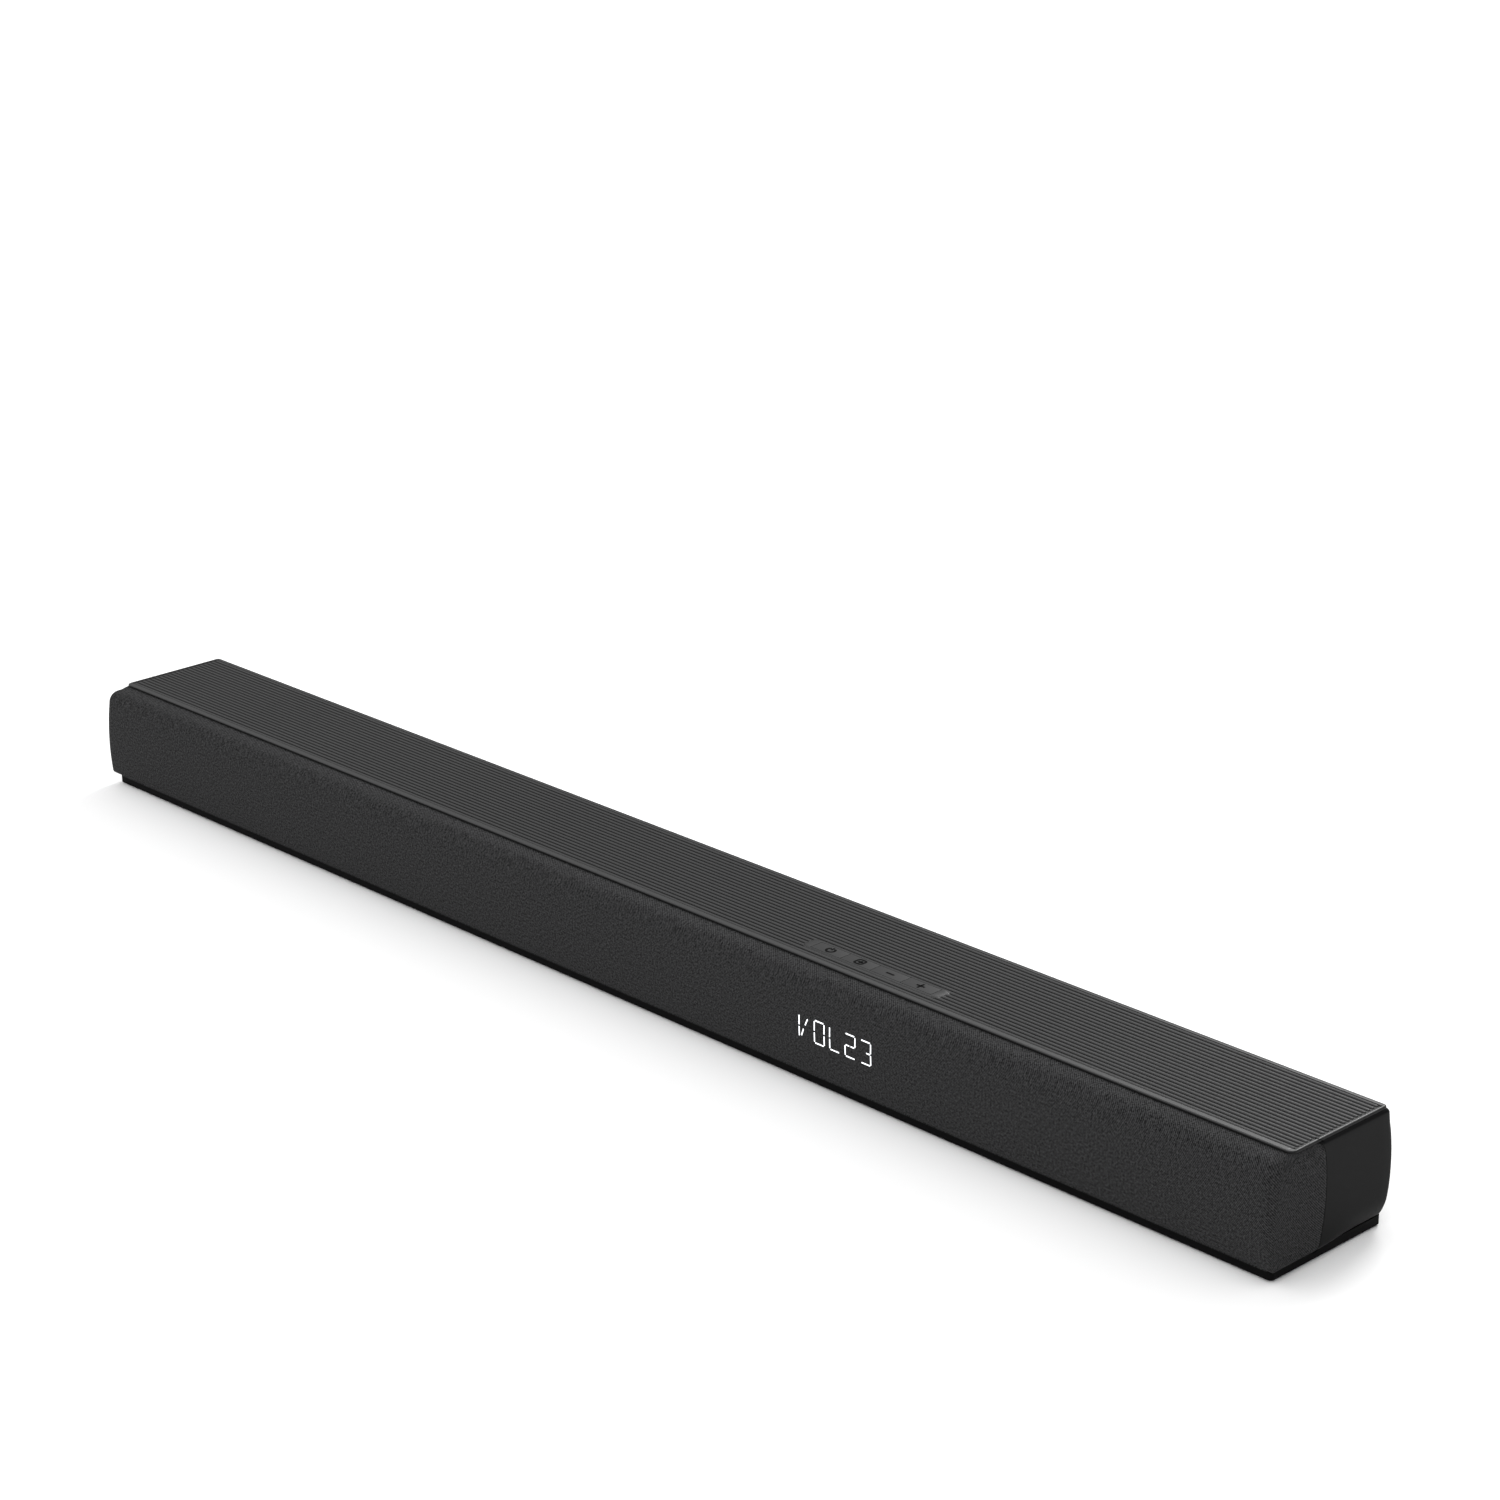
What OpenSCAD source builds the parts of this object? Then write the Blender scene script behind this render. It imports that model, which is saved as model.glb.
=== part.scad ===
// Soundbar for a television: a long low speaker with a cloth front, a grooved top plate with four
// keys, a lit volume display behind the cloth, three full-range drivers and two tweeters.
// X runs along the bar, the cloth front faces -Y, Z is up, and the feet stand on Z = 0.

/* [Body] */
// Overall length, end face to end face
bar_length = 950; // [930:10:990]
// Overall depth, front of the cloth to the back of the housing
bar_depth = 96; // [95:1:98]
// Height of the top plate above the floor
bar_height = 65; // [64.5:0.5:66]
// Wall thickness of the plastic housings
wall = 2.5; // [2.2:0.1:2.6]
// Height of the inset plinth, feet included
plinth_height = 6; // [5.6:0.2:6.4]
// Thickness of the rubber feet
foot_height = 1; // [0.8:0.1:1.2]

/* [Top plate] */
// Length of the plate's overlap short of each end face
plate_end_gap = 1.3; // [1:0.1:2]
// Depth of the top plate, front to back
plate_depth = 73; // [72:0.5:74]
// Thickness of the top plate
plate_thickness = 1.5; // [1.4:0.1:1.6]
// Distance from one groove to the next
groove_pitch = 3.19; // [3:0.01:3.3]
// Number of grooves
groove_count = 22; // [18:1:22]
// Depth of a groove
groove_depth = 0.6; // [0.4:0.1:0.8]

/* [Grille] */
// Thickness of the cloth
cloth = 0.8; // [0.6:0.1:0.9]
// Thickness of the grille frame behind the cloth
grille_wall = 1.6; // [1.4:0.1:1.8]

/* [Keys] */
// Distance from one key to the next
key_pitch = 21.9; // [21:0.1:22.5]
// Place of the middle of the key strip along the bar
key_strip_x = 186.7; // [180:0.1:190]
// Gap between neighbouring keys
key_gap = 0.3; // [0.3:0.05:0.4]
// How far a key goes down
key_travel = 0.5; // [0.3:0.1:0.5]

/* [Drivers] */
// Side of a full-range driver's square flange
driver_flange = 49; // [48:1:50]
// Side of a tweeter's square flange
tweeter_flange = 36; // [34:1:38]
// Distance of the outer drivers from each end face
driver_from_end = 80; // [78:1:84]
// Distance of the tweeters from each end face
tweeter_from_end = 145; // [143:1:150]

/* [Hidden] */
$fn = 48;

// Main planes
half_length = bar_length / 2;
half_depth = bar_depth / 2;
body_top = bar_height - plate_thickness;
body_bottom = plinth_height;
bulge_z = (body_top + body_bottom) / 2 + 1;
far = 2 * bar_length;

// Cross-section of the body as [y, z, corner radius], counter-clockwise from the rear top.
// The two corners at bulge_z, with their large radii, make the barrel shape of front and back.
body_corners = [
    [half_depth - 4.5, body_top, 2.4], [-half_depth + 2.9, body_top, 6],
    [-half_depth - 1.8, bulge_z, 110], [-half_depth + 4, body_bottom, 5],
    [half_depth - 3.5, body_bottom, 6], [half_depth + 2.6, bulge_z, 100]
];
// The same for the body seen from above, [x, y, radius], and from the front, [x, z, radius]
plan_corners = [
    [half_length, half_depth, 3], [-half_length, half_depth, 3],
    [-half_length, -half_depth, 8], [half_length, -half_depth, 8]
];
front_corners = [
    [half_length, body_top, 2], [-half_length, body_top, 2],
    [-half_length, body_bottom, 5], [half_length, body_bottom, 5]
];
arc_steps = 6;

// Rear edge of the cloth on an end face, as [y, z, corner radius]
cloth_side_corners = [
    [-8.5, body_top + 0.6, 8], [-far, body_top + 0.6, 1], [-far, body_bottom - 0.6, 1],
    [-9.1, body_bottom - 0.6, 6], [-3.1, bulge_z, 92]
];
corner_zone = 9;

// Plinth and top plate, the plate's corners as [x, y, radius]
plinth_front = -half_depth + 7.2;
plinth_back = half_depth - 4.5;
plinth_end = half_length - 2.6;
plinth_corner = 2.5;
rim_front = -half_depth + 10;
rim_back = half_depth - 9;
rim_end = half_length - 5.5;
rim_gap = 0.3;
plate_front = -30.7;
plate_back = plate_front + plate_depth;
plate_end = half_length - plate_end_gap;
plate_corners = [
    [plate_end, plate_back, 2], [-plate_end, plate_back, 2],
    [-plate_end, plate_front, 4], [plate_end, plate_front, 4]
];
cloth_tuck = plate_front + 1.2;
groove_first = plate_front + 3.6;
groove_end_margin = 1.6;

// Long screws that hold the top cover to the chassis
boss_x = [-half_length + 35, -285, -50, 50, 285, half_length - 35];
boss_front = -22;
boss_back = 33;
boss_radius = 3.5;
seat_z = plinth_height + wall + 0.25;
cap_inner = half_length - 45;
cap_gap = 0.2;

// Baffle and drivers
baffle_front = -33;
baffle_thickness = 3;
baffle_end = cap_inner - 5;
driver_z = (seat_z + body_top - wall - 0.2) / 2;
driver_hole = 22.8;
tweeter_hole = 13.2;
gasket = 0.8;
flange_thickness = 1.6;
driver_x = [-(half_length - driver_from_end), 0, half_length - driver_from_end];
tweeter_x = [-(half_length - tweeter_from_end), half_length - tweeter_from_end];
driver_screw = 21.5;
tweeter_screw = 14.2;

// Keys and display
key_y = -14.9;
strip_length = 98.8;
strip_width = 11.5;
strip_corner = 4;
key_window = 4 * key_pitch + key_gap;
key_width = 8.9;
key_board_z = 52.5;
switch_height = 4;
stem_gap = 0.3;
board_thickness = 1.6;
key_stem_z = key_board_z + board_thickness + switch_height + stem_gap + key_travel;
display_x = 189.6;
display_z = 35.2;
digit_pitch = 11.3;
digit_width = 7.2;
digit_height = 12.8;
display_face = -46;

// Rear bays
signal_bay = [75, 205];
power_bay = [-170, -120];
bay_bottom = 11;
bay_top = 41;
bay_wall = 1.8;
signal_floor = 25.2;
power_floor = 27;
board_z = 14;
board_top = board_z + board_thickness;
main_board_x = [78, 232];
power_board_x = [-255, -95];
board_y = [-20, 22];
socket_face = 25.8;
aux_x = 92;
usb_x = 108;
optical_x = 130;
hdmi_x = [155, 182];
inlet_x = -145;
inlet_z = 26;
mount_x = 250;
mount_z = 46;
mount_face = half_depth - 1.2;
rib_x = [-308, -64, 64, 308];
wireless_z = 6;

// ---------------------------------------------------------------- outline functions
function unit(v) = v / norm(v);
function left_of(v) = [-v[1], v[0]];
function spot(c) = [c[0], c[1]];
function cross2(a, b) = a[0] * b[1] - a[1] * b[0];
function meet(p, u, q, v) = p + u * cross2(q - p, v) / cross2(u, v);

// Corner i of outline c, with edge k moved inwards by d[k]
function inset_corner(c, d, i) = let(
        n = len(c), h = (i + n - 1) % n, j = (i + 1) % n,
        u = unit(spot(c[i]) - spot(c[h])), v = unit(spot(c[j]) - spot(c[i])))
    meet(spot(c[h]) + left_of(u) * d[h], u, spot(c[i]) + left_of(v) * d[i], v);

// Arc of radius r that rounds corner p between neighbours a and b
function corner_arc(a, p, b, r) = let(
        u = unit(a - p), v = unit(b - p), half = acos(u * v) / 2, turn = 180 - 2 * half,
        centre = p + unit(u + v) * r / sin(half), reach = r / tan(half),
        s = p + u * reach - centre, e = p + v * reach - centre)
    [for (k = [0:arc_steps]) let(f = k / arc_steps)
        centre + (s * sin((1 - f) * turn) + e * sin(f * turn)) / sin(turn)];

// Outline c with each edge moved inwards and each corner rounded
function rounded(c, d) = let(
        n = len(c), p = [for (i = [0:n - 1]) inset_corner(c, d, i)])
    [for (i = [0:n - 1]) let(h = (i + n - 1) % n, less = max(d[h], d[i]))
        each corner_arc(p[h], p[i], p[(i + 1) % n], max(0.4, c[i][2] - less))];

// Outline c with all its edges moved inwards by t
function outline(c, t) = rounded(c, [for (p = c) t]);

// ---------------------------------------------------------------- helpers
module along_x(x0, x1) translate([x0, 0, 0]) rotate([90, 0, 90]) linear_extrude(x1 - x0) children();
module facing_front() rotate([90, 0, 0]) children();
module block(x, y, z) translate([x[0], y[0], z[0]]) cube([x[1] - x[0], y[1] - y[0], z[1] - z[0]]);
module post(x, y, z, r) translate([x, y, z[0]]) cylinder(h = z[1] - z[0], r = r);
module post_y(x, y, z, r) translate([x, y[1], z]) rotate([90, 0, 0]) cylinder(h = y[1] - y[0], r = r);
module mirrored() for (side = [0, 1]) mirror([side, 0, 0]) children();

module rounded_rect(w, d, r) {
    square([w - 2 * r, d], center = true);
    square([w, d - 2 * r], center = true);
    for (x = [-1, 1], y = [-1, 1]) translate([x * (w / 2 - r), y * (d / 2 - r)]) circle(r);
}

module ring(outer, inner, z) translate([0, 0, z[0]]) difference() {
    cylinder(h = z[1] - z[0], r = outer);
    translate([0, 0, -1]) cylinder(h = z[1] - z[0] + 2, r = inner);
}

// The whole body, all its faces moved inwards by t: what its three outlines have in common
module body_solid(t) intersection() {
    along_x(-half_length, half_length) polygon(outline(body_corners, t));
    linear_extrude(bar_height) polygon(outline(plan_corners, t));
    translate([0, half_depth, 0]) facing_front() linear_extrude(bar_depth)
        polygon(outline(front_corners, t));
}

// Room kept clear for the chassis rim, which stands up inside the body
module rim_room() block([-rim_end - rim_gap, rim_end + rim_gap],
    [rim_front - rim_gap, rim_back + rim_gap], [0, seat_z - 0.05]);

// Everything in front of the cloth's rear edge, that edge moved back by grow
module front_zone(grow) {
    block([-half_length + corner_zone, half_length - corner_zone],
          [-far, cloth_tuck + grow], [0, body_top + 1]);
    mirrored() along_x(half_length - corner_zone, half_length + 1)
        polygon(outline(cloth_side_corners, -grow));
}

module boss_holes(ys, z, r) for (x = boss_x, y = ys) post(x, y, z, r);

// ---------------------------------------------------------------- housings
module bottom_chassis() color([0.04, 0.04, 0.04]) difference() {
    union() {
        difference() {
            union() {
                translate([0, (plinth_front + plinth_back) / 2, foot_height])
                    linear_extrude(body_bottom - 0.1 - foot_height)
                        rounded_rect(2 * plinth_end, plinth_back - plinth_front, plinth_corner);
                translate([0, (rim_front + rim_back) / 2, foot_height + 1])
                    linear_extrude(body_bottom + wall - foot_height - 1)
                        rounded_rect(2 * rim_end, rim_back - rim_front, 3);
            }
            block([-rim_end + wall, rim_end - wall], [rim_front + wall, rim_back - wall],
                  [foot_height + wall, 40]);
        }
        boss_holes([boss_front, boss_back], [foot_height + 1, seat_z - 0.1], 5);
        for (x = rib_x) difference() {
            block([x - 1, x + 1], [rim_front + 1, rim_back - 1], [foot_height + 1, seat_z - 0.3]);
            block([x - 2, x + 2], [19, 29], [foot_height + wall, seat_z]);
        }
        for (bx = [main_board_x, power_board_x], x = [bx[0] + 6, bx[1] - 6], y = [-15, 17])
            post(x, y, [foot_height + 1, board_z], 3);
        for (x = [336, 356]) post(x, 8, [foot_height + 1, wireless_z], 3);
    }
    boss_holes([boss_front, boss_back], [foot_height - 1, foot_height + 3], 3.3);
    boss_holes([boss_front, boss_back], [foot_height, 20], 1.8);
    for (bx = [main_board_x, power_board_x], x = [bx[0] + 6, bx[1] - 6], y = [-15, 17])
        post(x, y, [board_z - 9, board_z + 1], 1.1);
}

module rear_housing() color([0.05, 0.05, 0.05]) difference() {
    union() {
        along_x(-cap_inner, cap_inner) difference() {
            polygon(outline(body_corners, 0));
            polygon(outline(body_corners, wall));
            translate([-100, 0]) square([100 + 38.5, 100]);
        }
        intersection() {
            along_x(-cap_inner, cap_inner) polygon(outline(body_corners, 0.4));
            mirrored() post_y(mount_x, [mount_face - 13, 60], mount_z, 6);
        }
        for (x = [boss_x[1], boss_x[2], boss_x[3], boss_x[4]])
            block([x - 6, x + 6], [28, plinth_back], [seat_z, seat_z + 2.5]);
    }
    rim_room();
    for (bay = [signal_bay, power_bay])
        block([bay[0] - 2, bay[1] + 2], [20, 60], [bay_bottom - 2, bay_top + 2]);
    mirrored() {
        post_y(mount_x, [mount_face - 10.2, 60], mount_z, 3.55);
        post_y(mount_x, [mount_face, 60], mount_z, 6.6);
    }
    boss_holes([boss_back], [seat_z - 1, seat_z + 4], 4);
}

// Tub let into a window of the rear housing, open to the back
module bay_tub(bay, bay_floor) difference() {
    intersection() {
        along_x(-cap_inner, cap_inner) polygon(outline(body_corners, 0.3));
        block([bay[0] - bay_wall, bay[1] + bay_wall], [bay_floor - bay_wall, 60],
              [bay_bottom - bay_wall, bay_top + bay_wall]);
    }
    block(bay, [bay_floor, 61], [bay_bottom, bay_top]);
}

module front_baffle() color([0.08, 0.08, 0.08]) difference() {
    union() {
        block([-baffle_end, baffle_end], [baffle_front, baffle_front + baffle_thickness],
              [seat_z, body_top - wall - 0.2]);
        for (x = [boss_x[1], boss_x[2], boss_x[3], boss_x[4]])
            block([x - 6, x + 6], [baffle_front + 1, boss_front + 6], [seat_z, seat_z + 2.5]);
        for (x = [-38, 38], z = [-8, 8])
            post_y(display_x + x, [baffle_front - 2, baffle_front + 1], display_z + z, 2.5);
    }
    for (x = driver_x) {
        post_y(x, [baffle_front - 5, baffle_front + 5], driver_z, driver_hole);
        screw_pattern(driver_screw) post_y(x, [baffle_front - 5, baffle_front + 5], driver_z, 1.1);
    }
    for (x = tweeter_x) {
        post_y(x, [baffle_front - 5, baffle_front + 5], driver_z, tweeter_hole);
        screw_pattern(tweeter_screw) post_y(x, [baffle_front - 5, baffle_front + 5], driver_z, 1.1);
    }
    boss_holes([boss_front], [seat_z - 1, seat_z + 4], 4);
    block([display_x - 9, display_x + 9], [baffle_front - 3, baffle_front + 5],
          [display_z - 18, display_z - 13]);
}

module screw_pattern(reach) for (x = [-reach, reach], z = [-reach, reach])
    translate([x, 0, z]) children();

module top_cover() color([0.16, 0.16, 0.16]) difference() {
    union() {
        translate([0, 0, body_top]) linear_extrude(plate_thickness) polygon(outline(plate_corners, 0));
        difference() {
            block([-cap_inner + 3, cap_inner - 3], [-27, 38], [body_top - wall, body_top + 0.5]);
            block([-cap_inner + 4.6, cap_inner - 4.6], [-25.4, 36.4], [0, body_top]);
        }
        boss_holes([boss_front, boss_back], [seat_z, body_top + 0.5], boss_radius);
    }
    for (k = [0:groove_count - 1])
        along_x(-plate_end + groove_end_margin, plate_end - groove_end_margin)
            translate([groove_first + k * groove_pitch, bar_height])
                polygon([[-0.55, 0.1], [-0.3, -groove_depth], [0.3, -groove_depth], [0.55, 0.1]]);
    translate([key_strip_x, key_y, body_top - 1]) linear_extrude(10)
        rounded_rect(strip_length, strip_width, strip_corner);
    boss_holes([boss_front, boss_back], [seat_z - 1, 30], 1.5);
}

module end_cap() color([0.06, 0.06, 0.06]) difference() {
    union() {
        intersection() {
            difference() {
                body_solid(0);
                body_solid(wall);
            }
            block([cap_inner + cap_gap, half_length + 1], [-far, far], [0, 100]);
        }
        block([boss_x[5] - 6, half_length - 1], [boss_front - 6, plinth_back], [seat_z, seat_z + 2.5]);
    }
    front_zone(0.3);
    rim_room();
    boss_holes([boss_front, boss_back], [seat_z - 1, 100], 4);
}

module left_end_cap() mirror([1, 0, 0]) end_cap();
module right_end_cap() end_cap();

// Cloth and its frame share one skin, split by depth
module skin(outer, inner, grow) intersection() {
    difference() {
        body_solid(outer);
        body_solid(inner);
        rim_room();
    }
    front_zone(grow);
}

module grille_cloth() color([0.11, 0.11, 0.11]) skin(0, cloth, 0);

module grille_frame() color([0.03, 0.03, 0.03]) difference() {
    skin(cloth + 0.05, cloth + 0.05 + grille_wall, -0.6);
    for (k = [-7:7]) if (k != 3)
        block([k * 60 - 26, k * 60 + 26], [-far, baffle_front], [driver_z - 18, driver_z + 18]);
    block([display_x - 36, display_x + 36], [-far, baffle_front], [display_z - 11, display_z + 11]);
}

module connector_panel() color([0.07, 0.07, 0.07]) difference() {
    bay_tub(signal_bay, signal_floor);
    block([aux_x - 4.7, aux_x + 4.7], [20, 30], [board_top - 3, board_top + 9.2]);
    block([usb_x - 7.4, usb_x + 7.4], [20, 30], [board_top - 3, board_top + 7.4]);
    block([optical_x - 5.7, optical_x + 5.7], [20, 30], [board_top - 3, board_top + 11.2]);
    for (x = hdmi_x) block([x - 8, x + 8], [20, 30], [board_top - 3, board_top + 6.6]);
}

module mains_panel() color([0.07, 0.07, 0.07]) difference() {
    bay_tub(power_bay, power_floor);
    translate([inlet_x, 20, inlet_z]) rotate([-90, 0, 0]) linear_extrude(20)
        rounded_rect(18.4, 12.4, 2);
}

module rubber_feet() color([0.02, 0.02, 0.02])
    for (x = [-half_length + 75, 0, half_length - 75], y = [plinth_front + 11, plinth_back - 11])
        translate([x, y, 0]) linear_extrude(foot_height) rounded_rect(40, 9, 4);

module wall_mount_inserts() color([0.75, 0.6, 0.3]) mirrored() difference() {
    post_y(mount_x, [mount_face - 10, mount_face], mount_z, 3.5);
    post_y(mount_x, [mount_face - 8.5, mount_face + 1], mount_z, 1.65);
}

// ---------------------------------------------------------------- keys
module keypad_bezel() color([0.14, 0.14, 0.14]) difference() {
    translate([key_strip_x, key_y, 0]) {
        translate([0, 0, body_top - 1.6]) linear_extrude(1.55)
            rounded_rect(strip_length + 5, strip_width + 4, 1);
        translate([0, 0, body_top - 0.2]) linear_extrude(plate_thickness + 0.15)
            rounded_rect(strip_length - 0.3, strip_width - 0.3, strip_corner - 0.15);
        for (x = [-49, 49], y = [-6, 6])
            post(x, y, [key_board_z + board_thickness, body_top - 1.5], 2.2);
    }
    block([key_strip_x - key_window / 2, key_strip_x + key_window / 2],
          [key_y - key_width / 2, key_y + key_width / 2], [body_top - 3, bar_height + 1]);
}

// Key k of four, counted from the left
module key(k) color([0.14, 0.14, 0.14]) translate([key_strip_x + (k - 1.5) * key_pitch, key_y, 0]) {
    block([-(key_pitch - key_gap) / 2, (key_pitch - key_gap) / 2],
          [-key_width / 2 + key_gap, key_width / 2 - key_gap], [body_top - 0.8, bar_height - 0.05]);
    post(0, 0, [key_stem_z, body_top - 0.5], 1.8);
}

module power_key() key(0);
module source_key() key(1);
module volume_down_key() key(2);
module volume_up_key() key(3);

module key_board() color([0.03, 0.15, 0.07]) translate([key_strip_x, key_y, key_board_z])
    linear_extrude(board_thickness) rounded_rect(104, 17, 1);

module key_switches() color([0.2, 0.2, 0.2]) for (k = [0:3])
    translate([key_strip_x + (k - 1.5) * key_pitch, key_y, key_board_z + board_thickness]) {
        block([-3, 3], [-3, 3], [0, switch_height - 0.6]);
        post(0, 0, [switch_height - 0.7, switch_height], 1.75);
    }

// ---------------------------------------------------------------- display
module display_board() color([0.03, 0.15, 0.07])
    block([display_x - 44, display_x + 46], [baffle_front - 3.6, baffle_front - 2],
          [display_z - 13, display_z + 13]);

module display_module() color([0.02, 0.02, 0.02])
    block([display_x - 33, display_x + 33], [display_face, baffle_front - 3.6],
          [display_z - 9, display_z + 9]);

// One display segment: a straight bar from a to b in the display's plane
module segment(a, b, w) translate([0, display_face, 0]) rotate([90, 0, 0]) linear_extrude(0.3)
    let(u = unit(b - a), n = left_of(u) * w / 2) polygon([a - n, b - n, b + n, a + n]);

// Segments of the five characters, as corner-to-corner strokes on a 2 by 4 grid
strokes = [
    [[[0, 4], [0, 2]], [[0, 2], [0, 0]], [[0.4, 0.2], [0.95, 1.8]], [[1.2, 2.3], [1.8, 3.8]]],
    [[[0, 4], [0, 2]], [[0, 2], [0, 0]], [[2, 4], [2, 2]], [[2, 2], [2, 0]], [[0, 4], [2, 4]],
     [[0, 0], [2, 0]]],
    [[[0, 4], [0, 2]], [[0, 2], [0, 0]], [[0, 0], [2, 0]]],
    [[[0, 4], [2, 4]], [[2, 4], [2, 2]], [[0, 2], [1, 2]], [[1, 2], [2, 2]], [[0, 2], [0, 0]],
     [[0, 0], [2, 0]]],
    [[[0, 4], [2, 4]], [[2, 4], [2, 2]], [[1, 2], [2, 2]], [[2, 2], [2, 0]], [[0, 0], [2, 0]]]
];
stroke_width = 0.9;
stroke_gap = 0.75;

module display_segments() color([0.95, 0.97, 1]) for (c = [0:4], s = strokes[c]) let(
        corner = [display_x + (c - 2) * digit_pitch - digit_width / 2, display_z - digit_height / 2],
        scale2 = [digit_width / 2, digit_height / 4],
        a = corner + [s[0][0] * scale2[0], s[0][1] * scale2[1]],
        b = corner + [s[1][0] * scale2[0], s[1][1] * scale2[1]], u = unit(b - a))
    segment(a + u * stroke_gap, b - u * stroke_gap, stroke_width);

module infrared_receiver() color([0.05, 0.02, 0.05]) {
    block([display_x + 38, display_x + 44], [baffle_front - 7.6, baffle_front - 3.6],
          [display_z - 3.5, display_z + 3.5]);
    post_y(display_x + 41, [baffle_front - 9.2, baffle_front - 7.5], display_z, 2.3);
}

// ---------------------------------------------------------------- boards
module circuit_board(bx) color([0.03, 0.15, 0.07]) difference() {
    block(bx, board_y, [board_z, board_top]);
    for (x = [bx[0] + 6, bx[1] - 6], y = [-15, 17]) post(x, y, [board_z - 1, board_top + 1], 1.7);
}

module main_board() circuit_board(main_board_x);
module power_board() circuit_board(power_board_x);

module main_board_parts() color([0.1, 0.1, 0.11]) {
    for (c = [[112, -8, 14], [140, -10, 10], [170, 2, 7]])
        block([c[0] - c[2] / 2, c[0] + c[2] / 2], [c[1] - c[2] / 2, c[1] + c[2] / 2],
              [board_top, board_top + 1.4]);
    for (k = [0:3]) post(98, -14 + k * 7, [board_top, board_top + 11], 3);
    for (k = [0:5]) block([182 + k * 6, 186 + k * 6], [-13, -9], [board_top, board_top + 4]);
}

module amplifier_heat_sink() color([0.55, 0.56, 0.58]) translate([208, 4, board_top]) {
    block([-14, 14], [-4, 12], [0, 3]);
    for (k = [0:6]) block([-14 + k * 4.4, -12.4 + k * 4.4], [-4, 12], [2.5, 18]);
}

module wireless_module() {
    color([0.03, 0.12, 0.2]) block([330, 362], [-2, 18], [wireless_z, wireless_z + 1.2]);
    color([0.6, 0.6, 0.62]) block([334, 350], [2, 14], [wireless_z + 1.2, wireless_z + 3.4]);
}

module power_transformer() color([0.7, 0.55, 0.15]) translate([-195, 0, board_top]) {
    block([-15, 15], [-12, 12], [0, 4]);
    block([-15, 15], [-12, 12], [22, 26]);
    post(0, 0, [3.9, 22.1], 11);
}

module power_board_parts() color([0.1, 0.1, 0.12]) {
    post(-228, -2, [board_top, board_top + 30], 8);
    for (x = [-164, -150]) post(x, -12, [board_top, board_top + 18], 5);
    block([-128, -112], [-12, 4], [board_top, board_top + 12]);
    block([-176, -173], [-16, 10], [board_top, board_top + 20]);
}

// ---------------------------------------------------------------- sockets
module mains_inlet() translate([inlet_x, 0, inlet_z]) {
    color([0.03, 0.03, 0.03]) difference() {
        union() {
            translate([0, 11, 0]) rotate([-90, 0, 0]) linear_extrude(power_floor + 0.1 - 11)
                rounded_rect(18, 12, 2);
            translate([0, power_floor, 0]) rotate([-90, 0, 0]) linear_extrude(1.5)
                rounded_rect(22, 15, 3);
        }
        for (x = [-2.9, 2.9]) post_y(x, [14, 40], 0, 4.2);
        block([-2.9, 2.9], [14, 40], [-3.3, 3.3]);
    }
    color([0.8, 0.8, 0.82]) for (x = [-4.3, 4.3]) post_y(x, [14, 24.5], 0, 1.2);
}

// Metal-shelled socket with a contact tongue, centred on x and standing on its board
module tongue_socket(x, w, h, depth, tongue) {
    difference() {
        block([x - w / 2, x + w / 2], [socket_face - depth, socket_face], [board_top, board_top + h]);
        block([x - w / 2 + 0.5, x + w / 2 - 0.5], [socket_face - depth + 3, socket_face + 1],
              [board_top + 0.5, board_top + h - 0.5]);
    }
    block([x - w / 2 + 1.6, x + w / 2 - 1.6], [socket_face - depth + 2.9, socket_face - 1.5],
          [board_top + h / 2 - tongue / 2, board_top + h / 2 + tongue / 2]);
}

module digital_sockets() color([0.7, 0.7, 0.72]) {
    for (x = hdmi_x) tongue_socket(x, 15, 5.6, 12, 1.2);
    tongue_socket(usb_x, 14.4, 7, 14, 1.8);
}

optical_z = board_top + 5.5;
door_axis_z = optical_z + 2.9;
door_axis_y = socket_face - 0.8;

module optical_socket() color([0.03, 0.03, 0.03]) difference() {
    block([optical_x - 5.3, optical_x + 5.3], [socket_face - 13, socket_face],
          [board_top, board_top + 10.8]);
    block([optical_x - 3.5, optical_x + 3.5], [socket_face - 9, socket_face + 1],
          [optical_z - 3.5, optical_z + 3.5]);
    translate([optical_x - 4.1, door_axis_y, door_axis_z])
        rotate([0, 90, 0]) cylinder(h = 8.2, r = 0.42);
}

module optical_shutter() color([0.05, 0.05, 0.05]) {
    translate([optical_x - 4, door_axis_y, door_axis_z]) rotate([0, 90, 0]) cylinder(h = 8, r = 0.36);
    block([optical_x - 3.2, optical_x + 3.2], [door_axis_y - 0.36, door_axis_y + 0.36],
          [door_axis_z - 6, door_axis_z]);
}

module aux_socket() color([0.05, 0.05, 0.05]) difference() {
    union() {
        block([aux_x - 4.3, aux_x + 4.3], [socket_face - 13, socket_face - 1],
              [board_top, board_top + 8.8]);
        post_y(aux_x, [socket_face - 1.1, socket_face + 0.8], board_top + 4.4, 3.4);
    }
    post_y(aux_x, [socket_face - 11, socket_face + 2], board_top + 4.4, 1.8);
}

// ---------------------------------------------------------------- drivers
// Local frame of a driver: Z points out of the baffle, Z = 0 is the baffle's front face
module driver_place(x) translate([x, baffle_front, driver_z]) facing_front() children();
module flange(side, hole, reach, t) linear_extrude(t) difference() {
    rounded_rect(side, side, side / 9);
    circle(hole);
    for (x = [-reach, reach], y = [-reach, reach]) translate([x, y]) circle(1.4);
}

coil_gap = [9.2, 10.7];
plate_z = -16.8;
dome_seat = -0.65;

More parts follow.
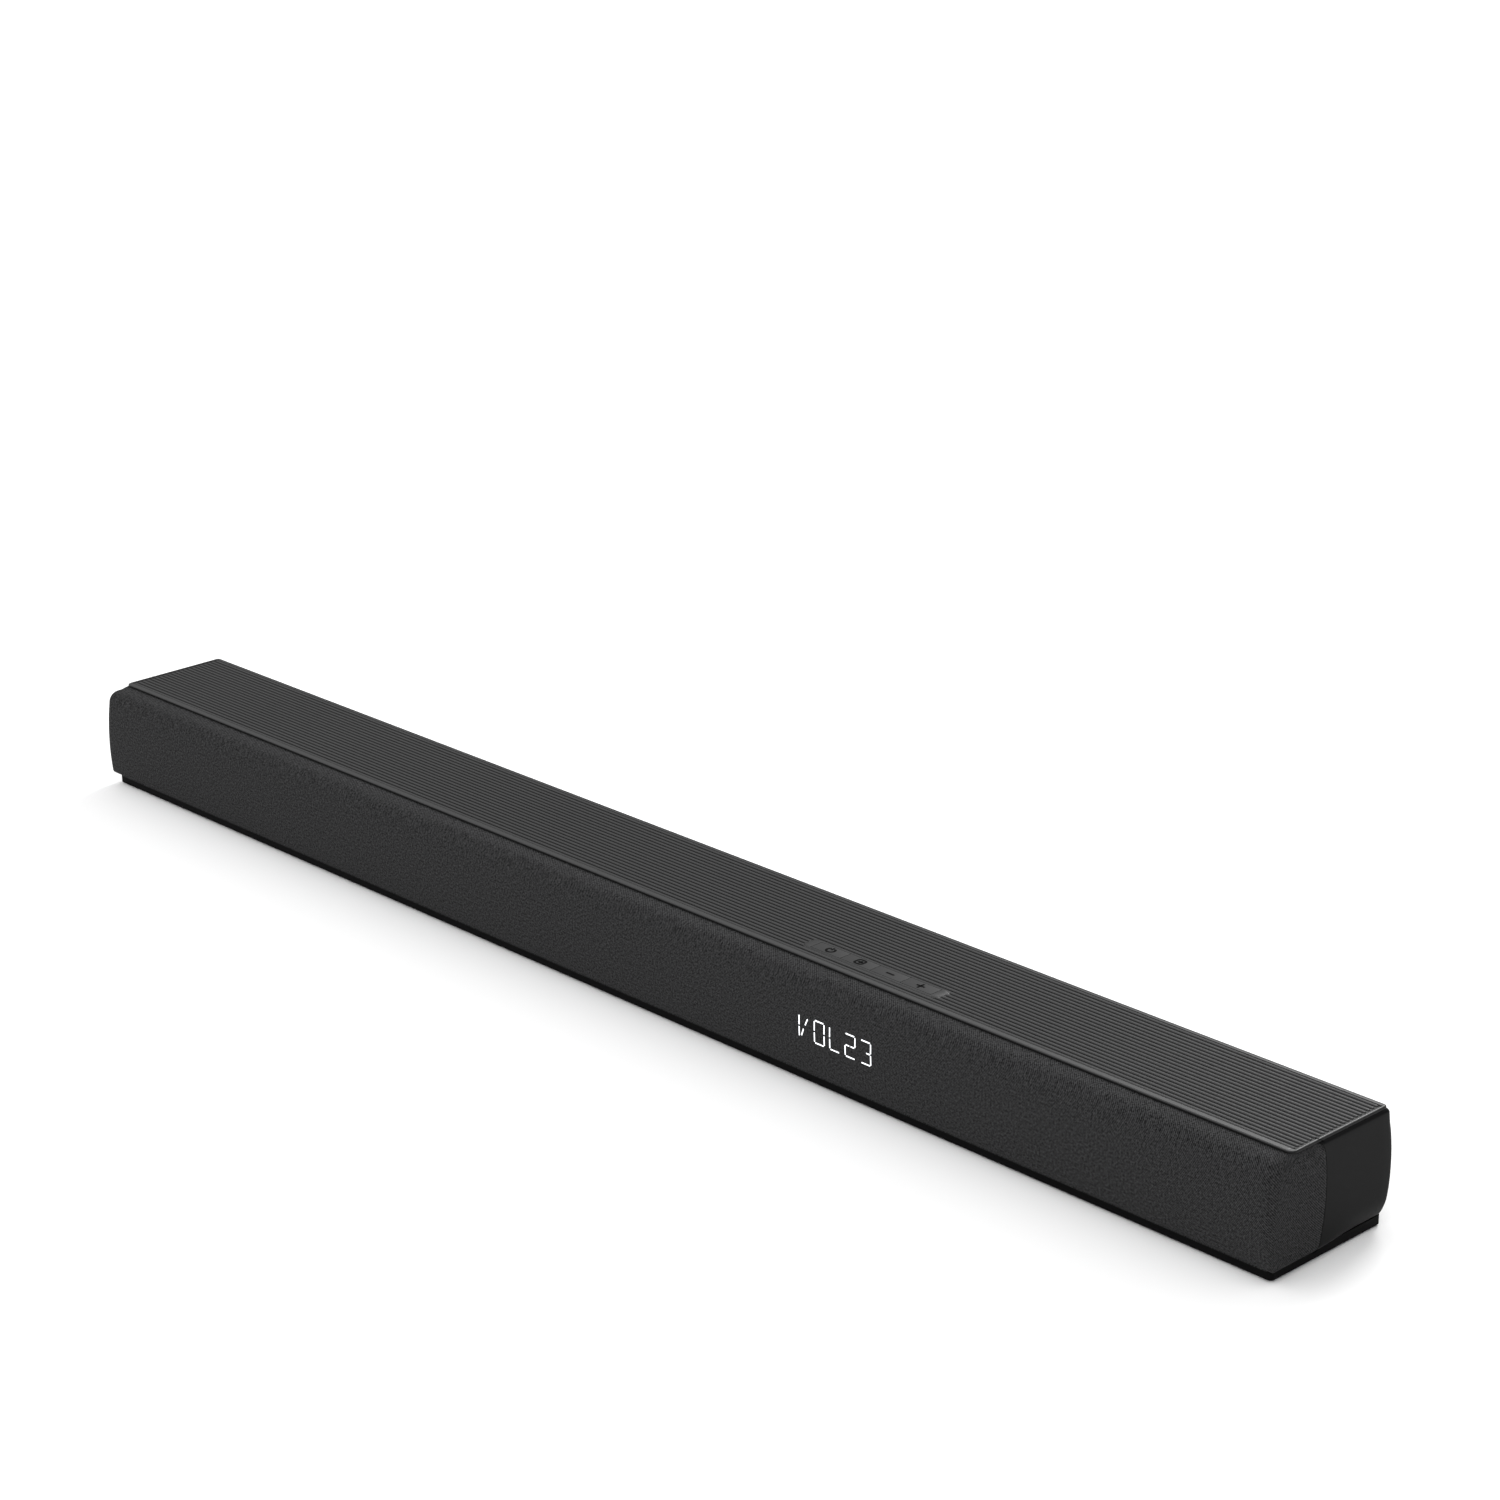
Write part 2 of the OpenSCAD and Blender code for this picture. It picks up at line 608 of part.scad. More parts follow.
module driver_basket(x) color([0.12, 0.12, 0.12]) driver_place(x) difference() {
    union() {
        translate([0, 0, gasket]) flange(driver_flange, 22.2, driver_screw, flange_thickness);
        rotate_extrude() polygon([
            [22.2, 2.4], [22.6, 2.4], [22.6, 0], [20.4, plate_z + 1.3], [20, plate_z], [11.2, plate_z],
            [11.2, plate_z + 1.2], [16.2, plate_z + 1.2], [17, -11.2], [15.4, -11.2], [15.4, -10.4],
            [18, -10.4], [21, -1.2], [22.2, -0.8]]);
    }
    for (k = [0:3]) rotate([0, 0, 90 * k]) block([12, 40], [-5, 5], [-9.6, -3]);
    for (k = [0:3]) rotate([0, 0, 90 * k]) block([17.5, 40], [-5, 5], [-15, -12]);
}

module driver_magnet(x) driver_place(x) {
    color([0.5, 0.5, 0.52]) ring(18, coil_gap[1], [plate_z - 3.05, plate_z - 0.05]);
    color([0.1, 0.1, 0.1]) ring(20, 12.5, [plate_z - 11.1, plate_z - 3.1]);
    color([0.5, 0.5, 0.52]) {
        translate([0, 0, plate_z - 14.15]) cylinder(h = 3, r = 18);
        translate([0, 0, plate_z - 11.2]) cylinder(h = 11.1, r = coil_gap[0]);
    }
}

module driver_cone(x) color([0.07, 0.07, 0.07]) driver_place(x) rotate_extrude() polygon(concat(
    [[9.6, -21], [9.9, -21], [9.9, -9], [18, -1.2], [18, -0.6], [9.9, -8.1]],
    [for (a = [0:10:90]) [9.9 * cos(a), -8.1 + 3.4 * sin(a)]],
    [for (a = [90:-10:0]) [9.5 * cos(a), -8.6 + 3.4 * sin(a)]],
    [[9.5, -9], [9.6, -9]]));

module driver_surround(x) color([0.05, 0.05, 0.05]) driver_place(x) rotate_extrude()
    translate([19.75, -0.6]) {
        difference() {
            circle(1.7);
            circle(1.2);
            translate([-3, -6]) square([6, 6]);
        }
        translate([-1.7, 0]) square([0.5, 0.4]);
        translate([1.2, 0]) square([1.15, 0.4]);
    }

// Corrugated disc between the voice coil and the basket's inner ledge
module driver_spider(x) color([0.75, 0.6, 0.3]) driver_place(x) rotate_extrude() polygon(concat(
    [for (k = [0:24]) [10 + k * 0.28, -10 + 0.35 * sin(k * 60)]],
    [for (k = [24:-1:0]) [10 + k * 0.28, -9.7 + 0.35 * sin(k * 60)]]));

module tweeter_body(x) color([0.09, 0.09, 0.09]) driver_place(x) difference() {
    union() {
        translate([0, 0, gasket]) flange(tweeter_flange, 5, tweeter_screw, flange_thickness);
        translate([0, 0, -12]) cylinder(h = 14.4, r = 12.6);
    }
    translate([0, 0, dome_seat]) cylinder(h = 10, r = 10.6);
}

// Dome and the flat rim that clamps it, one moulded piece
module tweeter_dome(x) color([0.15, 0.15, 0.15]) driver_place(x) rotate_extrude() polygon(concat(
    [[10.5, dome_seat + 0.05], [10.5, dome_seat + 0.45]],
    [for (a = [0:10:90]) [9.4 * cos(a), dome_seat + 0.45 + 3 * sin(a)]],
    [for (a = [90:-10:0]) [9 * cos(a), dome_seat + 0.05 + 3 * sin(a)]]));

module driver_gaskets() color([0.2, 0.2, 0.2]) {
    for (x = driver_x) driver_place(x)
        flange(driver_flange, driver_hole, driver_screw, gasket - 0.02);
    for (x = tweeter_x) driver_place(x)
        flange(tweeter_flange, tweeter_hole, tweeter_screw, gasket - 0.02);
}

// Screw with its head's underside at Z = 0 and its shank going down
module screw(head, head_height, shank, length) difference() {
    union() {
        cylinder(h = head_height, r = head);
        translate([0, 0, -length]) cylinder(h = length + 0.1, r = shank);
    }
    for (a = [0, 90]) rotate([0, 0, a])
        translate([-head * 0.6, -0.3, head_height * 0.4]) cube([head * 1.2, 0.6, 5]);
}

module driver_screws() color([0.5, 0.5, 0.52]) {
    for (x = driver_x) driver_place(x) for (a = [-driver_screw, driver_screw])
        for (b = [-driver_screw, driver_screw])
            translate([a, b, gasket + flange_thickness + 0.02]) screw(2.2, 1.4, 0.95, 8);
    for (x = tweeter_x) driver_place(x) for (a = [-tweeter_screw, tweeter_screw])
        for (b = [-tweeter_screw, tweeter_screw])
            translate([a, b, gasket + flange_thickness + 0.02]) screw(2.2, 1.4, 0.95, 8);
}

module cabinet_screws() color([0.12, 0.12, 0.12]) for (x = boss_x, y = [boss_front, boss_back])
    translate([x, y, foot_height + 2.95]) mirror([0, 0, 1]) screw(3, 1.9, 1.4, 20);

module board_screws() color([0.6, 0.6, 0.62])
    for (bx = [main_board_x, power_board_x], x = [bx[0] + 6, bx[1] - 6], y = [-15, 17])
        translate([x, y, board_top + 0.02]) screw(2.6, 1.5, 0.95, 9);

// ---------------------------------------------------------------- cables
cable_radius = 1.2;
cable_left = [
    [84, 4, 18], [77, 7, 18.4], [71, 14, 15], [69, 22, 9.5], [66, 26, 7], [58, 25.2, 6.2],
    [0, 24, 6], [-185, 24, 6], [-370, 24, 6], [-386, 21, 6.5], [-393, 10, 8], [-395, -4, 9.5],
    [-395, -12, 10]
];
cable_centre = [
    [84, -2, 18], [76, -1, 18.4], [70, 4, 14.5], [67.5, 12, 9.5], [66, 20.6, 7], [56, 21, 6.2],
    [28, 21, 6], [12, 18, 6.5], [4, 6, 8], [0, -6, 9.5], [0, -12, 10]
];
cable_right = [
    [226, -6, 18], [234, 0, 18], [242, 12, 11.5], [252, 22, 7], [275, 24, 6], [320, 24, 6],
    [372, 24, 6], [386, 21, 6.5], [393, 10, 8], [395, -4, 9.5], [395, -12, 10]
];

// Direction of route p at point i, and the ring of the tube there
function heading(p, i) = unit(p[min(i + 1, len(p) - 1)] - p[max(i - 1, 0)]);
function tube_ring(p, i, r, n) = let(
        w = heading(p, i), side = abs(w[2]) > 0.9 ? [1, 0, 0] : [0, 0, 1],
        u = unit(cross(w, side)), v = cross(w, u))
    [for (k = [0:n - 1]) p[i] + r * (cos(360 * k / n) * u + sin(360 * k / n) * v)];

// Smooth route through the points: two steps of a Catmull-Rom curve between neighbours
function smooth(p) = [for (i = [0:len(p) - 2]) let(
        a = p[max(i - 1, 0)], b = p[i], c = p[i + 1], d = p[min(i + 2, len(p) - 1)])
    for (f = [0, 1 / 2])
        (2 * b + (c - a) * f + (2 * a - 5 * b + 4 * c - d) * f * f
            + (3 * b - a - 3 * c + d) * f * f * f) / 2,
    p[len(p) - 1]];

module tube(route, r) {
    p = smooth(route);
    n = 8;
    rings = len(p);
    polyhedron(
        points = [for (i = [0:rings - 1]) each tube_ring(p, i, r, n)],
        faces = concat(
            [[for (k = [0:n - 1]) k]],
            [for (i = [0:rings - 2], k = [0:n - 1]) let(m = (k + 1) % n)
                [i * n + k, i * n + n + k, i * n + n + m, i * n + m]],
            [[for (k = [n - 1:-1:0]) (rings - 1) * n + k]]));
}

module speaker_cables() color([0.5, 0.05, 0.05]) {
    for (route = [cable_left, cable_centre, cable_right]) tube(route, cable_radius);
}

// Flat cable: a strip of width w along the points, given in the YZ plane
module ribbon(x, w, points) along_x(x - w / 2, x + w / 2) let(n = len(points))
    polygon(concat(points, [for (i = [n - 1:-1:0]) points[i] + [0.25, 0.25]]));

module ribbon_cables() color([0.85, 0.85, 0.8]) {
    ribbon(display_x, 12,
           [[-17, board_top + 0.1], [-22, 17.4], [-27, 18.8], [-33, 19.6], [-34.6, 21.6]]);
    ribbon(display_x + 22, 10,
           [[-16, board_top + 0.1], [-19, 24], [-15, 36], [-18, 46], [-16, key_board_z - 0.4]]);
}

// ---------------------------------------------------------------- parts
bottom_chassis();
rear_housing();
front_baffle();
top_cover();
grille_frame();
grille_cloth();
left_end_cap();
right_end_cap();
connector_panel();
mains_panel();
rubber_feet();
wall_mount_inserts();
keypad_bezel();
power_key();
source_key();
volume_down_key();
volume_up_key();
key_board();
key_switches();
display_board();
display_module();
display_segments();
infrared_receiver();
main_board();
main_board_parts();
amplifier_heat_sink();
wireless_module();
power_board();
power_transformer();
power_board_parts();
mains_inlet();
digital_sockets();
optical_socket();
optical_shutter();
aux_socket();
driver_basket(driver_x[0]);  // left_driver_basket
driver_magnet(driver_x[0]);  // left_driver_magnet
driver_cone(driver_x[0]);  // left_driver_cone
driver_surround(driver_x[0]);  // left_driver_surround
driver_spider(driver_x[0]);  // left_driver_spider
driver_basket(driver_x[1]);  // centre_driver_basket
driver_magnet(driver_x[1]);  // centre_driver_magnet
driver_cone(driver_x[1]);  // centre_driver_cone
driver_surround(driver_x[1]);  // centre_driver_surround
driver_spider(driver_x[1]);  // centre_driver_spider
driver_basket(driver_x[2]);  // right_driver_basket
driver_magnet(driver_x[2]);  // right_driver_magnet
driver_cone(driver_x[2]);  // right_driver_cone
driver_surround(driver_x[2]);  // right_driver_surround
driver_spider(driver_x[2]);  // right_driver_spider
tweeter_body(tweeter_x[0]);  // left_tweeter_body
tweeter_dome(tweeter_x[0]);  // left_tweeter_dome
tweeter_body(tweeter_x[1]);  // right_tweeter_body
tweeter_dome(tweeter_x[1]);  // right_tweeter_dome
driver_gaskets();
driver_screws();
cabinet_screws();
board_screws();
speaker_cables();
ribbon_cables();
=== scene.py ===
"""Looks of the soundbar: cloth, grooved top plate, end caps, keys and display around the CAD frame.

The bar lies along X, its cloth faces -Y, Z is up, and all lengths are in metres.
"""

import math

import bmesh
import bpy
from mathutils import Matrix, Vector


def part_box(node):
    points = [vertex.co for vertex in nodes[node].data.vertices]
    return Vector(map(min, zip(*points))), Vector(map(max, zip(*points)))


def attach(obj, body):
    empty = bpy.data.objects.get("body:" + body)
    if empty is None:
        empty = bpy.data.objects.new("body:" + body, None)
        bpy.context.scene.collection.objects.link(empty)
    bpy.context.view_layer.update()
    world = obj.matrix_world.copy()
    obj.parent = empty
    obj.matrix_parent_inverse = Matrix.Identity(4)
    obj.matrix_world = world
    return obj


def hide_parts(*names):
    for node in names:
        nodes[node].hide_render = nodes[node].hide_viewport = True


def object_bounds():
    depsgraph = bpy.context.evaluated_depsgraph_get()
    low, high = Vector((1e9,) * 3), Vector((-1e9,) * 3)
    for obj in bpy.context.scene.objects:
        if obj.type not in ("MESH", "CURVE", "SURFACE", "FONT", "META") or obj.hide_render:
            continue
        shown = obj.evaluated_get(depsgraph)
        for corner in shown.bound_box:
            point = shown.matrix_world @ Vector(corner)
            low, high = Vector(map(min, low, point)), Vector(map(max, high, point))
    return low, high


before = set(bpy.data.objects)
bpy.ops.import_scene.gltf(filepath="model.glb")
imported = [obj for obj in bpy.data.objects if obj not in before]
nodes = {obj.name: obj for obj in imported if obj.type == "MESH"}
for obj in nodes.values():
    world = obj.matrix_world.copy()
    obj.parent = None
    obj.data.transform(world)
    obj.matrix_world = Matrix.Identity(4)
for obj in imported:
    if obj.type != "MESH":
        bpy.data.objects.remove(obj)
cad_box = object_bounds()
MM = 0.001

# ------------------------------------------------------------------ sizes read off the frame
BODY_LOW, BODY_HIGH = (Vector(corner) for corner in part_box("grille_cloth"))
PLATE_LOW, PLATE_HIGH = (Vector(corner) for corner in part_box("top_cover"))
STRIP_LOW, STRIP_HIGH = (Vector(corner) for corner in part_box("keypad_bezel"))
CAP_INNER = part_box("right_end_cap")[0][0]
PLINTH_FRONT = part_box("bottom_chassis")[0][1]
BACK = cad_box[1][1]
END = BODY_HIGH.x
TOP = BODY_HIGH.z
BOTTOM = BODY_LOW.z
FRONT = BODY_LOW.y
BULGE_Z = (TOP + BOTTOM) / 2 + 1 * MM


# ------------------------------------------------------------------ camera, floor and light
CAMERA_PLACE = (1.3945, -1.2476, 0.8169)
CAMERA_DIRECTION = (-0.6819, 0.6460, -0.3433)
CAMERA_ROLL = -0.0095
CAMERA_LENS = 86.41
FLOOR_HALF = 14
SKY_LOW, SKY_HIGH = 0.25, 1.15
KEY_FROM, KEY_POWER, KEY_WIDTH = (-0.3, -0.75, 1), 1.35, 90
SHEEN_PLACE, SHEEN_TARGET, SHEEN_SIZE, SHEEN_POWER = (-0.7, 2.6, 2.1), (0.3, 0, 0), (1.2, 0.7), 60


def build_camera():
    """The camera stands to the right of the bar, above it, as in the photograph."""
    forward = Vector(CAMERA_DIRECTION).normalized()
    right = forward.cross(Vector((0, 0, 1))).normalized()
    up = right.cross(forward)
    right, up = (
        right * math.cos(CAMERA_ROLL) + up * math.sin(CAMERA_ROLL),
        up * math.cos(CAMERA_ROLL) - right * math.sin(CAMERA_ROLL),
    )
    data = bpy.data.cameras.new("camera")
    data.lens = CAMERA_LENS
    data.sensor_width = 36
    data.clip_end = 50
    camera = bpy.data.objects.new("camera", data)
    turn = Matrix((right, up, -forward)).transposed().to_4x4()
    camera.matrix_world = Matrix.Translation(CAMERA_PLACE) @ turn
    bpy.context.scene.collection.objects.link(camera)
    bpy.context.scene.camera = camera


def area_light(name, place, target, size, power):
    """A rectangular lamp of this width and height that faces the target."""
    data = bpy.data.lights.new(name, "AREA")
    data.shape = "RECTANGLE"
    data.size, data.size_y = size
    data.energy = power
    light = bpy.data.objects.new(name, data)
    light.location = place
    light.rotation_euler = (Vector(target) - Vector(place)).to_track_quat("-Z", "Y").to_euler()
    bpy.context.scene.collection.objects.link(light)


def sun_light(name, toward, power, angle):
    """A sun that shines from this direction and looks this many degrees wide."""
    data = bpy.data.lights.new(name, "SUN")
    data.energy = power
    data.angle = math.radians(angle)
    light = bpy.data.objects.new(name, data)
    light.rotation_euler = Vector(toward).to_track_quat("Z", "Y").to_euler()
    bpy.context.scene.collection.objects.link(light)


def build_sky():
    """White studio surroundings, dim near the horizon and bright overhead."""
    world = bpy.data.worlds.new("studio")
    world.use_nodes = True
    tree = world.node_tree
    background = tree.nodes["Background"]
    direction = tree.nodes.new("ShaderNodeTexCoord")
    split = tree.nodes.new("ShaderNodeSeparateXYZ")
    strength = tree.nodes.new("ShaderNodeMapRange")
    strength.inputs["From Min"].default_value = 0.05
    strength.inputs["From Max"].default_value = 0.95
    strength.inputs["To Min"].default_value = SKY_LOW
    strength.inputs["To Max"].default_value = SKY_HIGH
    tree.links.new(direction.outputs["Generated"], split.inputs[0])
    tree.links.new(split.outputs["Z"], strength.inputs["Value"])
    tree.links.new(strength.outputs["Result"], background.inputs["Strength"])
    background.inputs["Color"].default_value = (1, 1, 1, 1)
    bpy.context.scene.world = world


def build_stage():
    """Pale paper floor, soft light from the front left, and a lamp behind that gives the top its sheen."""
    corners = [(x * FLOOR_HALF, y * FLOOR_HALF, 0) for x, y in ((-1, -1), (1, -1), (1, 1), (-1, 1))]
    mesh = bpy.data.meshes.new("floor")
    mesh.from_pydata(corners, [], [(0, 1, 2, 3)])
    floor = bpy.data.objects.new("floor", mesh)
    bpy.context.scene.collection.objects.link(floor)
    paper, shader = new_material("floor_paper")
    shader.inputs["Base Color"].default_value = (0.93, 0.93, 0.93, 1)
    shader.inputs["Roughness"].default_value = 0.9
    shader.inputs["Specular IOR Level"].default_value = 0.1
    mesh.materials.append(paper)

    build_sky()
    sun_light("soft_key", KEY_FROM, KEY_POWER, KEY_WIDTH)
    area_light("sheen", SHEEN_PLACE, SHEEN_TARGET, SHEEN_SIZE, SHEEN_POWER)
    bpy.context.scene.view_settings.view_transform = "Standard"


# ------------------------------------------------------------------ material helpers
def new_material(name):
    """A material with nodes, and its shader."""
    material = bpy.data.materials.new(name)
    material.use_nodes = True
    return material, material.node_tree.nodes["Principled BSDF"]


def add(material, kind, **values):
    """A new node of this kind, with its properties and its unlinked inputs set."""
    node = material.node_tree.nodes.new(kind)
    for key, value in values.items():
        if hasattr(node, key):
            setattr(node, key, value)
        else:
            node.inputs[key.replace("_", " ")].default_value = value
    return node


def link(material, source, target):
    material.node_tree.links.new(source, target)


def maths(material, operation, first, second=None):
    """A math node on sockets or plain numbers, and its output socket."""
    node = add(material, "ShaderNodeMath", operation=operation)
    for place, value in enumerate((first, second)):
        if value is None:
            continue
        if isinstance(value, (int, float)):
            node.inputs[place].default_value = value
        else:
            link(material, value, node.inputs[place])
    return node.outputs[0]


def noise(material, coordinates, scale, detail=3.0, roughness=0.5):
    """Noise with this many cycles to the metre, from 0 to 1."""
    node = add(material, "ShaderNodeTexNoise", Scale=scale, Detail=detail, Roughness=roughness)
    link(material, coordinates, node.inputs["Vector"])
    return node.outputs["Fac"]


def stretched(material, coordinates, scale):
    """Coordinates scaled differently along each axis, which draws a pattern out where the scale is low."""
    node = add(material, "ShaderNodeMapping")
    node.inputs["Scale"].default_value = scale
    link(material, coordinates, node.inputs["Vector"])
    return node.outputs["Vector"]


def colour_between(material, factor, dark, light, low=0.3, high=0.7):
    """A colour that runs from dark to light as the factor runs from low to high."""
    ramp = add(material, "ShaderNodeValToRGB")
    ramp.color_ramp.elements[0].position = low
    ramp.color_ramp.elements[0].color = (*dark, 1)
    ramp.color_ramp.elements[1].position = high
    ramp.color_ramp.elements[1].color = (*light, 1)
    link(material, factor, ramp.inputs["Fac"])
    return ramp.outputs["Color"]


def between(material, factor, low, high, start=0.0, stop=1.0):
    """A number that runs from low to high, and no further, as the factor runs from start to stop."""
    node = add(material, "ShaderNodeMapRange")
    node.inputs["From Min"].default_value = start
    node.inputs["From Max"].default_value = stop
    node.inputs["To Min"].default_value = low
    node.inputs["To Max"].default_value = high
    link(material, factor, node.inputs["Value"])
    return node.outputs["Result"]


def bump(material, shader, height, strength, distance):
    node = add(material, "ShaderNodeBump", Strength=strength, Distance=distance)
    link(material, height, node.inputs["Height"])
    link(material, node.outputs["Normal"], shader.inputs["Normal"])


def wave(material, coordinate, pitch):
    """Sine wave of this pitch along a coordinate, from -1 to 1."""
    return maths(material, "SINE", maths(material, "MULTIPLY", coordinate, 2 * math.pi / pitch))


def object_place(material):
    """Coordinates in the object's own frame, in metres."""
    return add(material, "ShaderNodeTexCoord").outputs["Object"]


def shaded(colour, factor):
    """The same colour, lighter or darker by this factor."""
    return tuple(min(1.0, channel * factor) for channel in colour)


def moulded(name, colour, rough=0.5, grain=2600, depth=0.03, specular=0.3, spread=0.15):
    """Moulded or painted finish: spark-eroded grain, its depth in mm, soft cloudiness and uneven gloss."""
    material, shader = new_material(name)
    place = object_place(material)
    cloud = noise(material, place, 14, 4)
    fine = noise(material, place, grain, 2)
    tone = colour_between(material, cloud, shaded(colour, 1 - spread), shaded(colour, 1 + spread))
    link(material, tone, shader.inputs["Base Color"])
    cloudy = between(material, cloud, -0.05, 0.05)
    grainy = between(material, fine, rough - 0.08, rough + 0.08)
    link(material, maths(material, "ADD", cloudy, grainy), shader.inputs["Roughness"])
    shader.inputs["Specular IOR Level"].default_value = specular
    bump(material, shader, fine, 0.35, depth * MM)
    return material


def brushed(name, colour, rough=0.3, along=(1, 40, 40)):
    """Metal with fine lines along the axis of the lowest scale, or an even grain if they are alike."""
    material, shader = new_material(name)
    place = object_place(material)
    lines = noise(material, stretched(material, place, along), 90, 5)
    cloud = noise(material, place, 30, 3)
    tone = colour_between(material, lines, shaded(colour, 0.8), shaded(colour, 1.1))
    link(material, tone, shader.inputs["Base Color"])
    lined = between(material, lines, rough - 0.1, rough + 0.1)
    cloudy = between(material, cloud, -0.06, 0.06)
    link(material, maths(material, "ADD", lined, cloudy), shader.inputs["Roughness"])
    shader.inputs["Metallic"].default_value = 1
    bump(material, shader, lines, 0.3, 0.01 * MM)
    return material


def woven(name, dark, light, pitch):
    """Plain weave of this pitch in mm, in object space, for the small cloth pieces of the drivers."""
    material, shader = new_material(name)
    split = add(material, "ShaderNodeSeparateXYZ")
    link(material, object_place(material), split.inputs[0])
    warp = wave(material, split.outputs["X"], pitch * MM)
    weft = wave(material, split.outputs["Z"], pitch * MM)
    height = between(material, maths(material, "MULTIPLY", warp, weft), 0, 1, -1, 1)
    link(material, colour_between(material, height, dark, light), shader.inputs["Base Color"])
    shader.inputs["Roughness"].default_value = 0.9
    shader.inputs["Specular IOR Level"].default_value = 0.2
    bump(material, shader, height, 0.6, 0.08 * MM)
    return material


# ------------------------------------------------------------------ the main finishes
RIB_PITCH = 1.4 * MM
THREAD_PITCH = 0.8 * MM
GRAIN_SCALE = 840
STREAK_SCALE = 1000
# Heights on the cloth, below its upper edge, between which the streaks of pulled threads come in
STREAK_START, STREAK_FULL = -32 * MM, -16 * MM
WIRE_PITCH = 1 * MM
# Depths below the plate's highest level between which a groove's side turns dark with painted shade
GROOVE_SHADE_DEEP, GROOVE_SHADE_SHALLOW = 0.55 * MM, 0.2 * MM
# Distances from the plate's rear edge between which its painted dark line of shade comes in
REAR_SHADE_OUT, REAR_SHADE_IN = 1.5 * MM, 1.1 * MM


def speaker_cloth():
    """Fine black twill in the cloth's own length and height, which are its UV coordinates.

    Diagonal ribs are crossed by single threads, every thread catches the light a little differently,
    and below the tuck under the plate the pulled threads show as short upright streaks."""
    material, shader = new_material("speaker_cloth")
    flat = add(material, "ShaderNodeTexCoord").outputs["UV"]
    split = add(material, "ShaderNodeSeparateXYZ")
    link(material, flat, split.inputs[0])
    along, across = split.outputs["X"], split.outputs["Y"]
    ribs = wave(material, maths(material, "ADD", along, across), RIB_PITCH)
    threads = wave(material, maths(material, "SUBTRACT", along, across), THREAD_PITCH)
    ribbed, threaded = maths(material, "MULTIPLY", ribs, 0.26), maths(material, "MULTIPLY", threads, 0.16)
    weave = maths(material, "ADD", maths(material, "ADD", ribbed, threaded), 0.5)
    grain = between(material, noise(material, flat, GRAIN_SCALE, 3, 0.7), -0.5, 0.5, 0.28, 0.72)
    height = maths(material, "ADD", weave, grain)
    streaks = noise(material, stretched(material, flat, (1, 0.2, 1)), STREAK_SCALE, 2)
    uneven = between(material, streaks, -0.25, 0.25, 0.3, 0.7)
    pulled = between(material, across, 0.0, 1.0, STREAK_START, STREAK_FULL)
    tone = maths(material, "ADD", height, maths(material, "MULTIPLY", pulled, uneven))
    colour = colour_between(material, tone, (0.001, 0.001, 0.0011), (0.047, 0.047, 0.0482), 0.05, 0.95)
    link(material, colour, shader.inputs["Base Color"])
    link(material, between(material, height, 0.95, 0.75), shader.inputs["Roughness"])
    shader.inputs["Specular IOR Level"].default_value = 0.1
    bump(material, shader, height, 0.7, 0.16 * MM)
    return material


def plate_plastic():
    """Satin charcoal plastic of the top plate: very fine grain, faint flow lines, and painted shade that
    makes the grooves and a line along the rear edge darker and duller than the crests."""
    material, shader = new_material("plate_plastic")
    place = object_place(material)
    cloud = noise(material, place, 9, 3)
    flow = noise(material, stretched(material, place, (0.5, 30, 30)), 60, 4)
    grain = noise(material, place, 3200, 2)
    halves = [maths(material, "MULTIPLY", pattern, 0.5) for pattern in (cloud, flow)]
    mixed = maths(material, "ADD", *halves)
    colour = colour_between(material, mixed, (0.018, 0.018, 0.0184), (0.023, 0.023, 0.0235))
    split = add(material, "ShaderNodeSeparateXYZ")
    link(material, place, split.inputs[0])
    # Painted shade: colour and gloss fall away down the grooves' sides and in their floors
    levels = (PLATE_HIGH.z - GROOVE_SHADE_DEEP, PLATE_HIGH.z - GROOVE_SHADE_SHALLOW)
    crest = between(material, split.outputs["Z"], 0.4, 1.0, *levels)
    # Painted shade: a dark, dull line along the plate's rear edge
    places = (PLATE_HIGH.y - REAR_SHADE_OUT, PLATE_HIGH.y - REAR_SHADE_IN)
    rear = between(material, split.outputs["Y"], 1.0, 0.15, *places)
    light = maths(material, "MULTIPLY", crest, rear)
    # Inputs 6 and 7 and output 2 are the mix node's sockets for colours; the mix pulls the colour towards
    # black where shade is painted
    painted_shade_mix = add(material, "ShaderNodeMix", data_type="RGBA")
    link(material, light, painted_shade_mix.inputs[0])
    painted_shade_mix.inputs[6].default_value = (0, 0, 0, 1)
    link(material, colour, painted_shade_mix.inputs[7])
    link(material, painted_shade_mix.outputs[2], shader.inputs["Base Color"])
    link(material, between(material, grain, 0.34, 0.48), shader.inputs["Roughness"])
    link(material, maths(material, "MULTIPLY", light, 0.32), shader.inputs["Specular IOR Level"])
    bump(material, shader, grain, 0.25, 0.02 * MM)
    return material


def cap_plastic():
    """Near-black satin plastic of the end caps."""
    material, shader = new_material("cap_plastic")
    place = object_place(material)
    cloud = noise(material, place, 22, 3)
    grain = noise(material, place, 2600, 3)
    colour = colour_between(material, cloud, (0.002, 0.002, 0.0021), (0.0036, 0.0036, 0.0038))
    link(material, colour, shader.inputs["Base Color"])
    link(material, between(material, grain, 0.36, 0.54), shader.inputs["Roughness"])
    shader.inputs["Specular IOR Level"].default_value = 0.06
    bump(material, shader, grain, 0.3, 0.03 * MM)
    return material


def display_light():
    """White light of the display as it shows through the cloth, broken up by the threads."""
    material, shader = new_material("display_light")
    threads = noise(material, object_place(material), 1300, 2)
    colour = colour_between(material, threads, (0.82, 0.86, 0.92), (1, 1, 1))
    link(material, colour, shader.inputs["Emission Color"])
    shader.inputs["Emission Strength"].default_value = 1.05
    link(material, colour, shader.inputs["Base Color"])
    shader.inputs["Roughness"].default_value = 0.6
    return material


